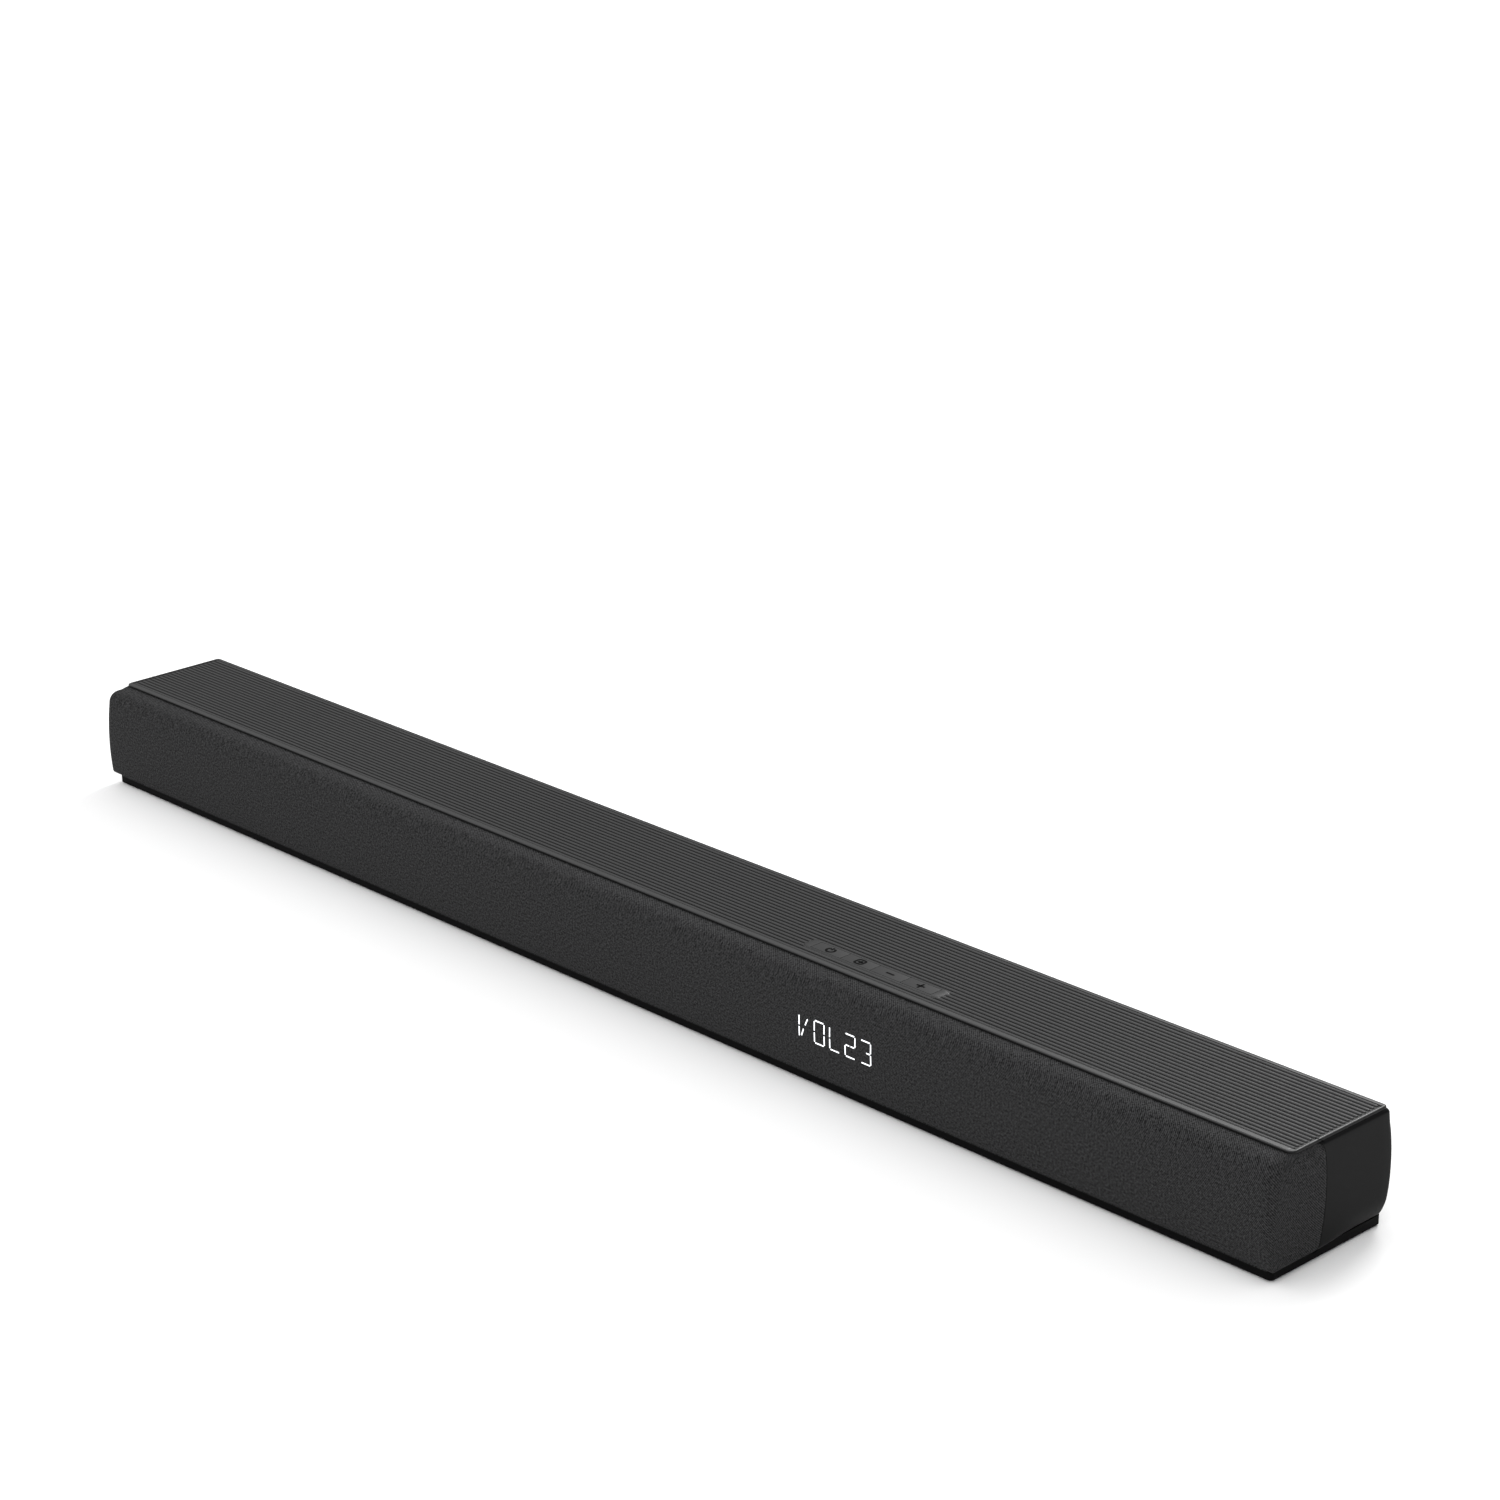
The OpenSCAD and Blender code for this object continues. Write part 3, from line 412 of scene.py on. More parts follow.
def circuit_board():
    """Green solder mask with faint copper tracks under it."""
    material, shader = new_material("circuit_board")
    place = object_place(material)
    tracks = add(
        material, "ShaderNodeTexVoronoi", Scale=420.0, distance="MANHATTAN", feature="DISTANCE_TO_EDGE",
    )
    link(material, place, tracks.inputs["Vector"])
    edge = tracks.outputs["Distance"]
    colour = colour_between(material, edge, (0.03, 0.16, 0.07), (0.008, 0.06, 0.025), 0.03, 0.08)
    link(material, colour, shader.inputs["Base Color"])
    link(material, between(material, noise(material, place, 900), 0.25, 0.42), shader.inputs["Roughness"])
    bump(material, shader, edge, 0.3, 0.04 * MM)
    return material


def ribbon_vinyl():
    """Pale flat cable, its wires showing as lengthwise lines."""
    material, shader = new_material("ribbon_vinyl")
    split = add(material, "ShaderNodeSeparateXYZ")
    link(material, object_place(material), split.inputs[0])
    wires = wave(material, split.outputs["X"], WIRE_PITCH)
    height = between(material, wires, 0, 1, -1, 1)
    colour = colour_between(material, height, (0.35, 0.35, 0.33), (0.62, 0.62, 0.58))
    link(material, colour, shader.inputs["Base Color"])
    shader.inputs["Roughness"].default_value = 0.4
    bump(material, shader, height, 0.5, 0.1 * MM)
    return material


# ------------------------------------------------------------------ mesh helpers
# Share of the way to the corner at which a Bezier curve's handles make a quarter circle
QUARTER_CIRCLE = 0.5523
BEVEL_ANGLE = 40
SMOOTH_ANGLE = 35


def ease(share):
    """Smooth step from 0 to 1 as the share runs from 0 to 1."""
    share = min(1, max(0, share))
    return share * share * (3 - 2 * share)


def spread(start, stop, steps, skip_first=True):
    """Evenly spaced numbers from start to stop, without the first one unless it is asked for."""
    return [start + (stop - start) * k / steps for k in range(1 if skip_first else 0, steps + 1)]


def bezier_corner(start, vertex, end, steps):
    """Points that round a corner, close to a circular arc where it is square."""
    inner, outer = start.lerp(vertex, QUARTER_CIRCLE), end.lerp(vertex, QUARTER_CIRCLE)
    points = []
    for step in range(steps + 1):
        f = step / steps
        g = 1 - f
        points.append(start * g**3 + inner * 3 * g * g * f + outer * 3 * g * f * f + end * f**3)
    return points


def rounded_path(corners, arc_steps=8, line_steps=4):
    """An open path through (a, b, reach) corners: each is rounded from reach before it to reach after it."""
    spots = [Vector(corner[:2]) for corner in corners]
    points = [spots[0]]
    for before, here, after, corner in zip(spots, spots[1:], spots[2:], corners[1:]):
        start = here + (before - here).normalized() * corner[2]
        end = here + (after - here).normalized() * corner[2]
        for step in range(1, line_steps):
            points.append(points[-1 - (step - 1)].lerp(start, step / line_steps))
        points += bezier_corner(start, here, end, arc_steps)
    last = points[-1]
    points += [last.lerp(spots[-1], step / line_steps) for step in range(1, line_steps + 1)]
    return points


def value_at(path, level):
    """First coordinate of a path at a level of its second, for a path that runs down."""
    for (a, high), (b, low) in zip(path, path[1:]):
        if low <= level <= high and high > low:
            return a + (b - a) * (high - level) / (high - low)
    return path[0][0] if level > path[0][1] else path[-1][0]


def new_piece(name, bm, material, body="housing", smooth=True):
    """An object from a finished mesh, with its material, riding on a body."""
    mesh = bpy.data.meshes.new(name)
    bm.to_mesh(mesh)
    bm.free()
    for polygon in mesh.polygons:
        polygon.use_smooth = smooth
    piece = bpy.data.objects.new(name, mesh)
    bpy.context.scene.collection.objects.link(piece)
    mesh.materials.append(material)
    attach(piece, body)
    return piece


def running_length(points):
    """Distance from the first point to each point, along the line through them."""
    lengths = [0.0]
    for a, b in zip(points, points[1:]):
        lengths.append(lengths[-1] + (Vector(b) - Vector(a)).length)
    return lengths


def grid_piece(name, rows, outward, material):
    """A sheet through rows of points, with its own lengths as UV, and its faces turned outwards.

    Returns the piece, the length of its middle row and the length of its middle column."""
    bm = bmesh.new()
    layer = bm.loops.layers.uv.new("length_and_height")
    made = [[bm.verts.new(point) for point in row] for row in rows]
    along = [running_length(row) for row in rows]
    across = [running_length(column) for column in zip(*rows)]
    half = len(rows[0]) // 2
    for i in range(len(rows) - 1):
        for j in range(len(rows[0]) - 1):
            ring = [(i, j), (i, j + 1), (i + 1, j + 1), (i + 1, j)]
            face = bm.faces.new([made[a][b] for a, b in ring])
            for loop, (a, b) in zip(face.loops, ring):
                loop[layer].uv = (along[a][b] - along[a][half], -across[b][a])
    bm.normal_update()
    if sum(face.normal.dot(Vector(outward)) for face in bm.faces) < 0:
        bmesh.ops.reverse_faces(bm, faces=bm.faces[:])
    return new_piece(name, bm, material), along[len(rows) // 2][-1], across[half][-1]


def thicken(piece, thickness):
    """Gives a sheet its thickness, all of it inwards."""
    solid = piece.modifiers.new("thickness", "SOLIDIFY")
    solid.thickness = thickness
    solid.offset = -1


def apply_modifiers(piece):
    evaluated = piece.evaluated_get(bpy.context.evaluated_depsgraph_get())
    mesh = bpy.data.meshes.new_from_object(evaluated)
    piece.modifiers.clear()
    old = piece.data
    piece.data = mesh
    bpy.data.meshes.remove(old)


def round_edges(piece, width, segments):
    edges = piece.modifiers.new("round_edges", "BEVEL")
    edges.width = width
    edges.segments = segments
    edges.limit_method = "ANGLE"
    edges.angle_limit = math.radians(BEVEL_ANGLE)
    edges.use_clamp_overlap = True


def geometry_group(name):
    """An empty geometry node group, with its input and output nodes."""
    group = bpy.data.node_groups.new(name, "GeometryNodeTree")
    group.interface.new_socket("Geometry", in_out="INPUT", socket_type="NodeSocketGeometry")
    group.interface.new_socket("Geometry", in_out="OUTPUT", socket_type="NodeSocketGeometry")
    return group, group.nodes.new("NodeGroupInput"), group.nodes.new("NodeGroupOutput")


def smooth_shading_group():
    """Node group that shades smoothly but keeps the edges sharper than SMOOTH_ANGLE."""
    group, start, stop = geometry_group("smooth_by_angle")
    faces = group.nodes.new("GeometryNodeSetShadeSmooth")
    edges = group.nodes.new("GeometryNodeSetShadeSmooth")
    edges.domain = "EDGE"
    turn = group.nodes.new("GeometryNodeInputMeshEdgeAngle")
    gentle = group.nodes.new("ShaderNodeMath")
    gentle.operation = "LESS_THAN"
    gentle.inputs[1].default_value = math.radians(SMOOTH_ANGLE)
    group.links.new(start.outputs[0], faces.inputs["Geometry"])
    group.links.new(faces.outputs["Geometry"], edges.inputs["Geometry"])
    group.links.new(turn.outputs["Unsigned Angle"], gentle.inputs[0])
    group.links.new(gentle.outputs[0], edges.inputs["Shade Smooth"])
    group.links.new(edges.outputs["Geometry"], stop.inputs[0])
    return group


SMOOTH_GROUP = smooth_shading_group()


def smooth_by_angle(piece):
    """Smooth shading with sharp edges kept, as a modifier, so that the mesh itself isn't touched."""
    piece.modifiers.new("smooth_by_angle", "NODES").node_group = SMOOTH_GROUP


def dress(node, material, bevel=0.2 * MM, segments=2):
    """Gives a CAD node its finish, rounds its edges a little and smooths its curved faces."""
    piece = nodes[node]
    piece.data.materials.clear()
    piece.data.materials.append(material)
    merge = piece.modifiers.new("merge", "WELD")
    merge.merge_threshold = 0.001 * MM
    if bevel:
        round_edges(piece, bevel, segments)
    smooth_by_angle(piece)


def add_block(bm, low, high):
    """Box between two corners."""
    made = bmesh.ops.create_cube(bm, size=1)["verts"]
    centre = (Vector(low) + Vector(high)) / 2
    size = Vector(high) - Vector(low)
    for vert in made:
        vert.co = centre + Vector((vert.co[k] * size[k] for k in range(3)))


def add_tube(bm, x, y, low, high, outer, inner, sides=32):
    """Hollow post along Z."""
    turns = [2 * math.pi * k / sides for k in range(sides)]
    rings = []
    for radius, level in ((outer, low), (outer, high), (inner, high), (inner, low)):
        spots = [(x + radius * math.cos(turn), y + radius * math.sin(turn), level) for turn in turns]
        rings.append([bm.verts.new(spot) for spot in spots])
    for k in range(4):
        first, second = rings[k], rings[(k + 1) % 4]
        for j in range(sides):
            m = (j + 1) % sides
            bm.faces.new((first[j], first[m], second[m], second[j]))


# ------------------------------------------------------------------ cloth and end caps
CLOTH_THICKNESS = 0.8 * MM
CAP_THICKNESS = 2.2 * MM
SEAM = 0.2 * MM
# The front corners' radius, how much it grows towards the shoulder, and the least it may be
CORNER, SHOULDER_GAIN, LEAST_CORNER = 4.2 * MM, 5.2 * MM, 1.2 * MM
# Places from front to back between which the round shoulder passes into the square end
SHOULDER_START, SHOULDER_STOP = -37 * MM, -28 * MM
# Steps inwards and back, in mm, that turn the sheets' side edges in
CLOTH_TURN_IN = [(0.12, 0.22), (0.5, 0.3), (1.2, 0.3)]
CAP_TURN_IN = [(0.1, -0.16), (0.3, -0.22), (1.6, -0.22)]
EDGE_MARGIN = 0.3 * MM
CAP_CORNER = 3 * MM
CAP_EDGE_GAP = 0.25 * MM
# How far the caps' rear corners lean in, and over what height and depth they do
LEAN, LEAN_HEIGHT, LEAN_DEPTH = 2.2 * MM, 11 * MM, 35 * MM

# Cross-section of the front, as (y, z, reach) from under the plate to under the body
FRONT_PROFILE = rounded_path([
    (FRONT + 18.5 * MM, TOP), (FRONT + 2.9 * MM, TOP, 6.6 * MM), (FRONT - 1.8 * MM, BULGE_Z, 20 * MM),
    (FRONT + 4 * MM, BOTTOM, 4.1 * MM), (PLINTH_FRONT - 0.3 * MM, BOTTOM),
])
# Outlines of the end as (x, z, reach), for the cloth's shoulder, the rest of the cloth and the cap
SHOULDER_PROFILE, CLOTH_END_PROFILE, CAP_END_PROFILE = (
    rounded_path([
        (END - 9 * MM, TOP), (END, TOP, reach), (END, BULGE_Z, 18 * MM),
        (END, BOTTOM, 2.2 * MM), (END - 5.2 * MM, BOTTOM),
    ])
    for reach in (6.5 * MM, 2.6 * MM, 2 * MM)
)
# Cross-sections of the rear as (y, z, reach), along the caps' middle and at their outer corner
REAR_PROFILE, REAR_CORNER_PROFILE = (
    rounded_path([
        (BACK - 8.5 * MM, TOP), (BACK - 4.5 * MM, TOP, 2.2 * MM), (BACK + 2.6 * MM, BULGE_Z, 23 * MM),
        (BACK - 3.5 * MM, BOTTOM, reach), (BACK - 8.7 * MM, BOTTOM),
    ])
    for reach in (4.9 * MM, 2.2 * MM)
)
# Rear edge of the cloth on the end faces, as (y, z, reach)
CLOTH_SIDE_EDGE = rounded_path([
    (-20 * MM, TOP + 0.7 * MM), (-8.5 * MM, TOP + 0.6 * MM, 6.6 * MM), (-3.1 * MM, BULGE_Z, 18 * MM),
    (-9.1 * MM, BOTTOM - 0.6 * MM, 5 * MM), (-20 * MM, BOTTOM - 0.7 * MM),
])


def corner_radius(line):
    """The cloth's front corners are rounder at the shoulder than lower down, and tighten further in."""
    share = min(1, max(0, (line[1] - BOTTOM) / (TOP - BOTTOM)))
    return max(LEAST_CORNER, CORNER + SHOULDER_GAIN * share**2 - max(0, line[0] - FRONT))


def wrap_row(line, end, radius, edge_y, line_xs, side_steps=8, arc_steps=10):
    """One row of a sheet that runs along a long face at `line`, round a corner and along the end face."""
    (line_y, line_z), (end_x, end_z) = line, end
    way = 1 if edge_y > line_y else -1
    row = [(x, line_y, line_z) for x in line_xs]
    centre_x, centre_y = end_x - radius, line_y + way * radius
    for step in range(arc_steps + 1):
        share = step / arc_steps
        angle = share * math.pi / 2
        row.append((
            centre_x + radius * math.sin(angle), centre_y - way * radius * math.cos(angle),
            line_z + (end_z - line_z) * ease(share),
        ))
    margin = math.copysign(EDGE_MARGIN, edge_y - centre_y)
    row += [(end_x, y, end_z) for y in spread(centre_y, edge_y - margin, side_steps) + [edge_y]]
    return row


def build_cloth(material):
    """One sheet over the front and round both ends, its right half mirrored to the left."""
    line_xs = spread(0, END - 19 * MM, 46, skip_first=False)
    rows = []
    for line, end, shoulder in zip(FRONT_PROFILE, CLOTH_END_PROFILE, SHOULDER_PROFILE):
        edge_y = value_at(CLOTH_SIDE_EDGE, end[1])
        radius = corner_radius(line)
        tight = wrap_row(line, end, radius, edge_y, line_xs)
        round_row = wrap_row(line, shoulder, radius, edge_y, line_xs)
        right = [
            tuple(Vector(a).lerp(Vector(b), ease((b[1] - SHOULDER_START) / (SHOULDER_STOP - SHOULDER_START))))
            for a, b in zip(round_row, tight)
        ]
        x, y, z = right[-1]
        right += [(x - inwards * MM, y + back * MM, z) for inwards, back in CLOTH_TURN_IN]
        left = [(-x, y, z) for x, y, z in reversed(right[1:])]
        rows.append(left + right)
    piece, length, height = grid_piece("cloth", rows, (0, -1, 0), material)
    thicken(piece, CLOTH_THICKNESS)
    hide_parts("grille_cloth")


def swept_in(point, corner_point, edge_y):
    """The cap's rear corner leans inwards over the plinth, the more the lower and the nearer the corner."""
    near_corner = ease((point[0] - CAP_INNER) / (END - CAP_CORNER - CAP_INNER))
    x, y, z = Vector(point).lerp(Vector(corner_point), near_corner)
    low = max(0, (BOTTOM + LEAN_HEIGHT - z) / LEAN_HEIGHT)
    lean = LEAN * low**2 * near_corner * ease((y - edge_y) / LEAN_DEPTH)
    return x - lean, y - lean, z


def build_end_cap(name, side, material):
    """One end cap's shell, from the rear housing round the corner to the cloth's edge."""
    line_xs = spread(CAP_INNER, END - 15 * MM, 8, skip_first=False)
    rows = []
    for line, corner_line, end in zip(REAR_PROFILE, REAR_CORNER_PROFILE, CAP_END_PROFILE):
        edge_y = value_at(CLOTH_SIDE_EDGE, end[1]) + SEAM + CAP_EDGE_GAP
        row = wrap_row(line, end, CAP_CORNER, edge_y, line_xs)
        corner_row = wrap_row(corner_line, end, CAP_CORNER, edge_y, line_xs)
        row = [swept_in(a, b, edge_y) for a, b in zip(row, corner_row)]
        x, y, z = row[-1]
        row += [(x - inwards * MM, y + back * MM, z) for inwards, back in CAP_TURN_IN]
        rows.append([(side * x, y, z) for x, y, z in row])
    piece, _, _ = grid_piece(name + "_shell", rows, (side, 1, 0), material)
    thicken(piece, CAP_THICKNESS)
    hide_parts(name)


# ------------------------------------------------------------------ grooved top plate
RIDGE_PITCH = 3.18 * MM
RIDGE_COUNT = 21
RIDGE_FIRST = PLATE_LOW.y + 5.1 * MM
RIDGE_DEPTH = 0.6 * MM
RIDGE_WIDTH = 0.6 * RIDGE_PITCH
RIDGE_END = 2.7 * MM
RIDGE_END_ROUND = 1.1 * MM
# How far the crests stand above the smooth border, and the border's width at the ends
CREST_PROUD = 0.05 * MM
LIP = 1.1 * MM
# Widths over which the field sinks at its ends and round the strip, and share of a pitch at its sides
LIP_RAMP, STRIP_RAMP, SIDE_RAMP = 0.5 * MM, 0.6 * MM, 0.12
STRIP_MARGIN = 0.25 * MM
EDGE_ROUND = 0.8 * MM
PLATE_CORNER = 4 * MM
PLATE_REAR_CORNER = 2 * MM
PLATE_UNDERSIDE = PLATE_HIGH.z - 1.5 * MM
STRIP_CENTRE = (STRIP_LOW + STRIP_HIGH) / 2
STRIP_HALF = Vector((49.4 * MM, 5.75 * MM))
STRIP_CORNER = 4 * MM
RIM_FRONT, RIM_BACK = -27 * MM, 36.4 * MM
RIM_END = CAP_INNER - 3.2 * MM
RIM_WALL = 1.6 * MM
RIM_BOTTOM = TOP - 2.5 * MM
SCREW_X = [x * MM for x in (-440, -285, -50, 50, 285, 440)]
SCREW_Y = [-22 * MM, 33 * MM]
POST_RADIUS, POST_BORE = 3.5 * MM, 1.5 * MM


def depth_inside(x, y, half_x, half_y, radius):
    """How far a point lies inside a rounded rectangle about the origin."""
    reach_x, reach_y = abs(x) - (half_x - radius), abs(y) - (half_y - radius)
    beyond = math.hypot(max(reach_x, 0), max(reach_y, 0))
    return radius - beyond - min(0, max(reach_x, reach_y))


def plate_corner(y):
    """Radius of the plate's corners in front of its middle or behind it."""
    return PLATE_CORNER if y < 0 else PLATE_REAR_CORNER


def plate_height(x, y):
    """Height of the plate's upper surface: a rounded border, and ridges that stand in a sunk field."""
    centre_y = (PLATE_LOW.y + PLATE_HIGH.y) / 2
    half_y = (PLATE_HIGH.y - PLATE_LOW.y) / 2
    inside = depth_inside(x, y - centre_y, PLATE_HIGH.x, half_y, plate_corner(y - centre_y))
    border = PLATE_HIGH.z - CREST_PROUD
    drop = max(0, EDGE_ROUND - inside)
    edge = EDGE_ROUND - math.sqrt(max(0, EDGE_ROUND**2 - drop**2))
    turn = (y - RIDGE_FIRST) / RIDGE_PITCH
    if turn < -0.5 or turn > RIDGE_COUNT - 0.5:
        return border - edge
    from_end = PLATE_HIGH.x - abs(x)
    strip = -depth_inside(x - STRIP_CENTRE.x, y - STRIP_CENTRE.y, STRIP_HALF.x, STRIP_HALF.y, STRIP_CORNER)
    sunk = ease((from_end - LIP) / LIP_RAMP) * ease((strip - STRIP_MARGIN) / STRIP_RAMP)
    sunk *= ease((turn + 0.5) / SIDE_RAMP) * ease((RIDGE_COUNT - 0.5 - turn) / SIDE_RAMP)
    off_crest = (turn - round(turn)) * RIDGE_PITCH / (RIDGE_WIDTH / 2)
    off_end = max(0, RIDGE_END + RIDGE_END_ROUND - from_end) / RIDGE_END_ROUND
    crest = math.sqrt(max(0, 1 - off_crest**2 - off_end**2))
    return border - edge - RIDGE_DEPTH * (1 - crest) * sunk + CREST_PROUD * crest


def plate_columns():
    """Places of the grid's lines along X, close together at the plate's ends and the key strip's ends."""
    edge = [0, 0.1, 0.25, 0.5, 0.8, 1.1, 1.25, 1.35, 1.5, 1.6, 2.1]
    edge += [2.7, 2.75, 2.85, 3.0, 3.2, 3.5, 3.8, 4.6, 6]
    left = [-PLATE_HIGH.x + step * MM for step in edge]
    strip_left = STRIP_CENTRE.x - STRIP_HALF.x
    strip_right = STRIP_CENTRE.x + STRIP_HALF.x
    xs = left + spread(left[-1], strip_left - 3 * MM, 34)
    xs += spread(strip_left - 3 * MM, strip_left + 5 * MM, 20)
    xs += spread(strip_left + 5 * MM, strip_right - 5 * MM, 6)
    xs += spread(strip_right - 5 * MM, strip_right + 3 * MM, 20)
    return xs + spread(strip_right + 3 * MM, -left[-1], 14) + [-x for x in reversed(left[:-1])]


def plate_rows():
    """Places of the grid's lines along Y, close together where a ridge's sides are steep."""
    ridge_start = RIDGE_FIRST - RIDGE_PITCH / 2
    ridge_stop = ridge_start + RIDGE_COUNT * RIDGE_PITCH
    edge = [0, 0.1, 0.25, 0.5, 0.8, 1.4, 2.1]
    ys = [PLATE_LOW.y + step * MM for step in edge] + [ridge_start]
    crest = [-0.31, -0.3, -0.29, -0.26, -0.2, -0.1, 0, 0.1, 0.2, 0.26, 0.29, 0.3, 0.31]
    for count in range(RIDGE_COUNT):
        middle = RIDGE_FIRST + count * RIDGE_PITCH
        ys += [middle + RIDGE_PITCH * share for share in [-0.42] * (count == 0) + crest + [0.42, 0.5]]
    ys[-1] = ridge_stop
    return ys + [PLATE_HIGH.y - step * MM for step in reversed(edge)]


def into_outline(x, y):
    """Pulls the grid's square corners onto the plate's rounded ones."""
    centre_y = (PLATE_LOW.y + PLATE_HIGH.y) / 2
    corner_x = PLATE_HIGH.x - plate_corner(y - centre_y)
    corner_y = (PLATE_HIGH.y - PLATE_LOW.y) / 2 - plate_corner(y - centre_y)
    over_x, over_y = abs(x) - corner_x, abs(y - centre_y) - corner_y
    if over_x <= 0 or over_y <= 0:
        return x, y
    pull = max(over_x, over_y) / math.hypot(over_x, over_y)
    new_x = math.copysign(corner_x + over_x * pull, x)
    return new_x, centre_y + math.copysign(corner_y + over_y * pull, y - centre_y)


def prism(name, half_x, half_y, radius, centre, low, high, steps=10):
    """Rounded-rectangle prism that cuts another piece."""
    bm = bmesh.new()
    outline = []
    for quarter, (sx, sy) in enumerate(((1, 1), (-1, 1), (-1, -1), (1, -1))):
        for step in range(steps + 1):
            angle = (quarter + step / steps) * math.pi / 2
            x = sx * (half_x - radius) + radius * math.cos(angle)
            outline.append((centre.x + x, centre.y + sy * (half_y - radius) + radius * math.sin(angle)))
    lower = [bm.verts.new((x, y, low)) for x, y in outline]
    upper = [bm.verts.new((x, y, high)) for x, y in outline]
    bm.faces.new(list(reversed(lower)))
    bm.faces.new(upper)
    for k in range(len(outline)):
        m = (k + 1) % len(outline)
        bm.faces.new((lower[k], lower[m], upper[m], upper[k]))
    mesh = bpy.data.meshes.new(name)
    bm.to_mesh(mesh)
    bm.free()
    cutter = bpy.data.objects.new(name, mesh)
    bpy.context.scene.collection.objects.link(cutter)
    return cutter


def build_top_plate(material):
    """A grid over the whole plate, closed underneath, with the key strip's hole cut out of it."""
    bm = bmesh.new()
    xs, ys = plate_columns(), plate_rows()
    grid = []
    for y in ys:
        row = []
        for x in xs:
            px, py = into_outline(x, y)
            row.append(bm.verts.new((px, py, plate_height(px, py))))
        grid.append(row)
    for i in range(len(ys) - 1):
        for j in range(len(xs) - 1):
            bm.faces.new((grid[i][j], grid[i][j + 1], grid[i + 1][j + 1], grid[i + 1][j]))
    rim = grid[0] + [row[-1] for row in grid[1:-1]]
    rim += list(reversed(grid[-1])) + [row[0] for row in grid[-2:0:-1]]
    lower = [bm.verts.new((vert.co.x, vert.co.y, PLATE_UNDERSIDE)) for vert in rim]
    for k in range(len(rim)):
        m = (k + 1) % len(rim)
        bm.faces.new((rim[m], rim[k], lower[k], lower[m]))
    bm.faces.new(list(reversed(lower)))
    piece = new_piece("grooved_plate", bm, material)
    levels = (TOP - 4 * MM, TOP + 6 * MM)
    cutter = prism("strip_cut", STRIP_HALF.x, STRIP_HALF.y, STRIP_CORNER, STRIP_CENTRE, *levels)
    cut = piece.modifiers.new("strip_cut", "BOOLEAN")
    cut.operation = "DIFFERENCE"
    cut.solver = "EXACT"
    cut.object = cutter
    apply_modifiers(piece)
    bpy.data.objects.remove(cutter)
    add_plate_underparts(piece)
    smooth_by_angle(piece)
    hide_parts("top_cover")


def add_plate_underparts(piece):
    """The rim under the plate and the screw posts that go down to the chassis."""
    bm = bmesh.new()
    bm.from_mesh(piece.data)
    overlap = PLATE_UNDERSIDE + 0.2 * MM
    for y in (RIM_FRONT, RIM_BACK):
        add_block(bm, (-RIM_END, y, RIM_BOTTOM), (RIM_END, y + RIM_WALL, overlap))
    for x in (-RIM_END, RIM_END - RIM_WALL):
        add_block(bm, (x, RIM_FRONT, RIM_BOTTOM), (x + RIM_WALL, RIM_BACK + RIM_WALL, overlap))
    for x in SCREW_X:
        for y in SCREW_Y:
            add_tube(bm, x, y, PLATE_LOW.z, overlap, POST_RADIUS, POST_BORE)
    bm.to_mesh(piece.data)
    bm.free()
    for polygon in piece.data.polygons:
        polygon.use_smooth = True


# ------------------------------------------------------------------ signs on the keys and the lit figures
# Sizes of the signs and figures are in millimetres
SIGN_STROKE = 1.4
SIGN_LIFT, SIGN_RISE = 0.005, 0.04
# Segments that are lit in each of the five characters, on a grid 2 wide and 4 high
FIGURES = [
    [((0, 4), (0, 2)), ((0, 2), (0, 0)), ((0.4, 0.2), (0.95, 1.8)), ((1.2, 2.3), (1.8, 3.8))],
    [
        ((0, 4), (0, 2)), ((0, 2), (0, 0)), ((2, 4), (2, 2)),
        ((2, 2), (2, 0)), ((0, 4), (2, 4)), ((0, 0), (2, 0)),
    ],
    [((0, 4), (0, 2)), ((0, 2), (0, 0)), ((0, 0), (2, 0))],
    [
        ((0, 4), (2, 4)), ((2, 4), (2, 2)), ((0, 2), (1, 2)),
        ((1, 2), (2, 2)), ((0, 2), (0, 0)), ((0, 0), (2, 0)),
    ],
    [((0, 4), (2, 4)), ((2, 4), (2, 2)), ((1, 2), (2, 2)), ((2, 2), (2, 0)), ((0, 0), (2, 0))],
]
FIGURE_SIZE = Vector((7.2, 12.8))
FIGURE_PITCH = 11.3
FIGURE_STROKE = 0.72
FIGURE_GAP = 0.5
FIGURE_LIFT, FIGURE_RISE = 0.01, 0.05


def ribbon_faces(bm, points, width, place, rise):
    """A flat stroke of this width along plane points; place turns a plane point and a height into 3-D."""
    closed = (points[0] - points[-1]).length < 1e-9
    path = points[:-1] if closed else points
    count = len(path)
    sides = []
    for k, here in enumerate(path):
        before = path[k - 1] if closed or k else here
        after = path[(k + 1) % count] if closed or k < count - 1 else here
        way = (after - before).normalized()
        normal = Vector((-way.y, way.x)) * width / 2
        sides.append((here - normal, here + normal))
    spans = [(k, (k + 1) % count) for k in range(count if closed else count - 1)]
    low = [[bm.verts.new(place(edge, 0)) for edge in pair] for pair in sides]
    high = [[bm.verts.new(place(edge, rise)) for edge in pair] for pair in sides]
    for a, b in spans:
        bm.faces.new((high[a][0], high[b][0], high[b][1], high[a][1]))
        bm.faces.new((low[a][1], low[b][1], low[b][0], low[a][0]))
        bm.faces.new((low[a][0], low[b][0], high[b][0], high[a][0]))
        bm.faces.new((high[a][1], high[b][1], low[b][1], low[a][1]))
    if not closed:
        bm.faces.new((low[0][0], high[0][0], high[0][1], low[0][1]))
        bm.faces.new((low[-1][1], high[-1][1], high[-1][0], low[-1][0]))


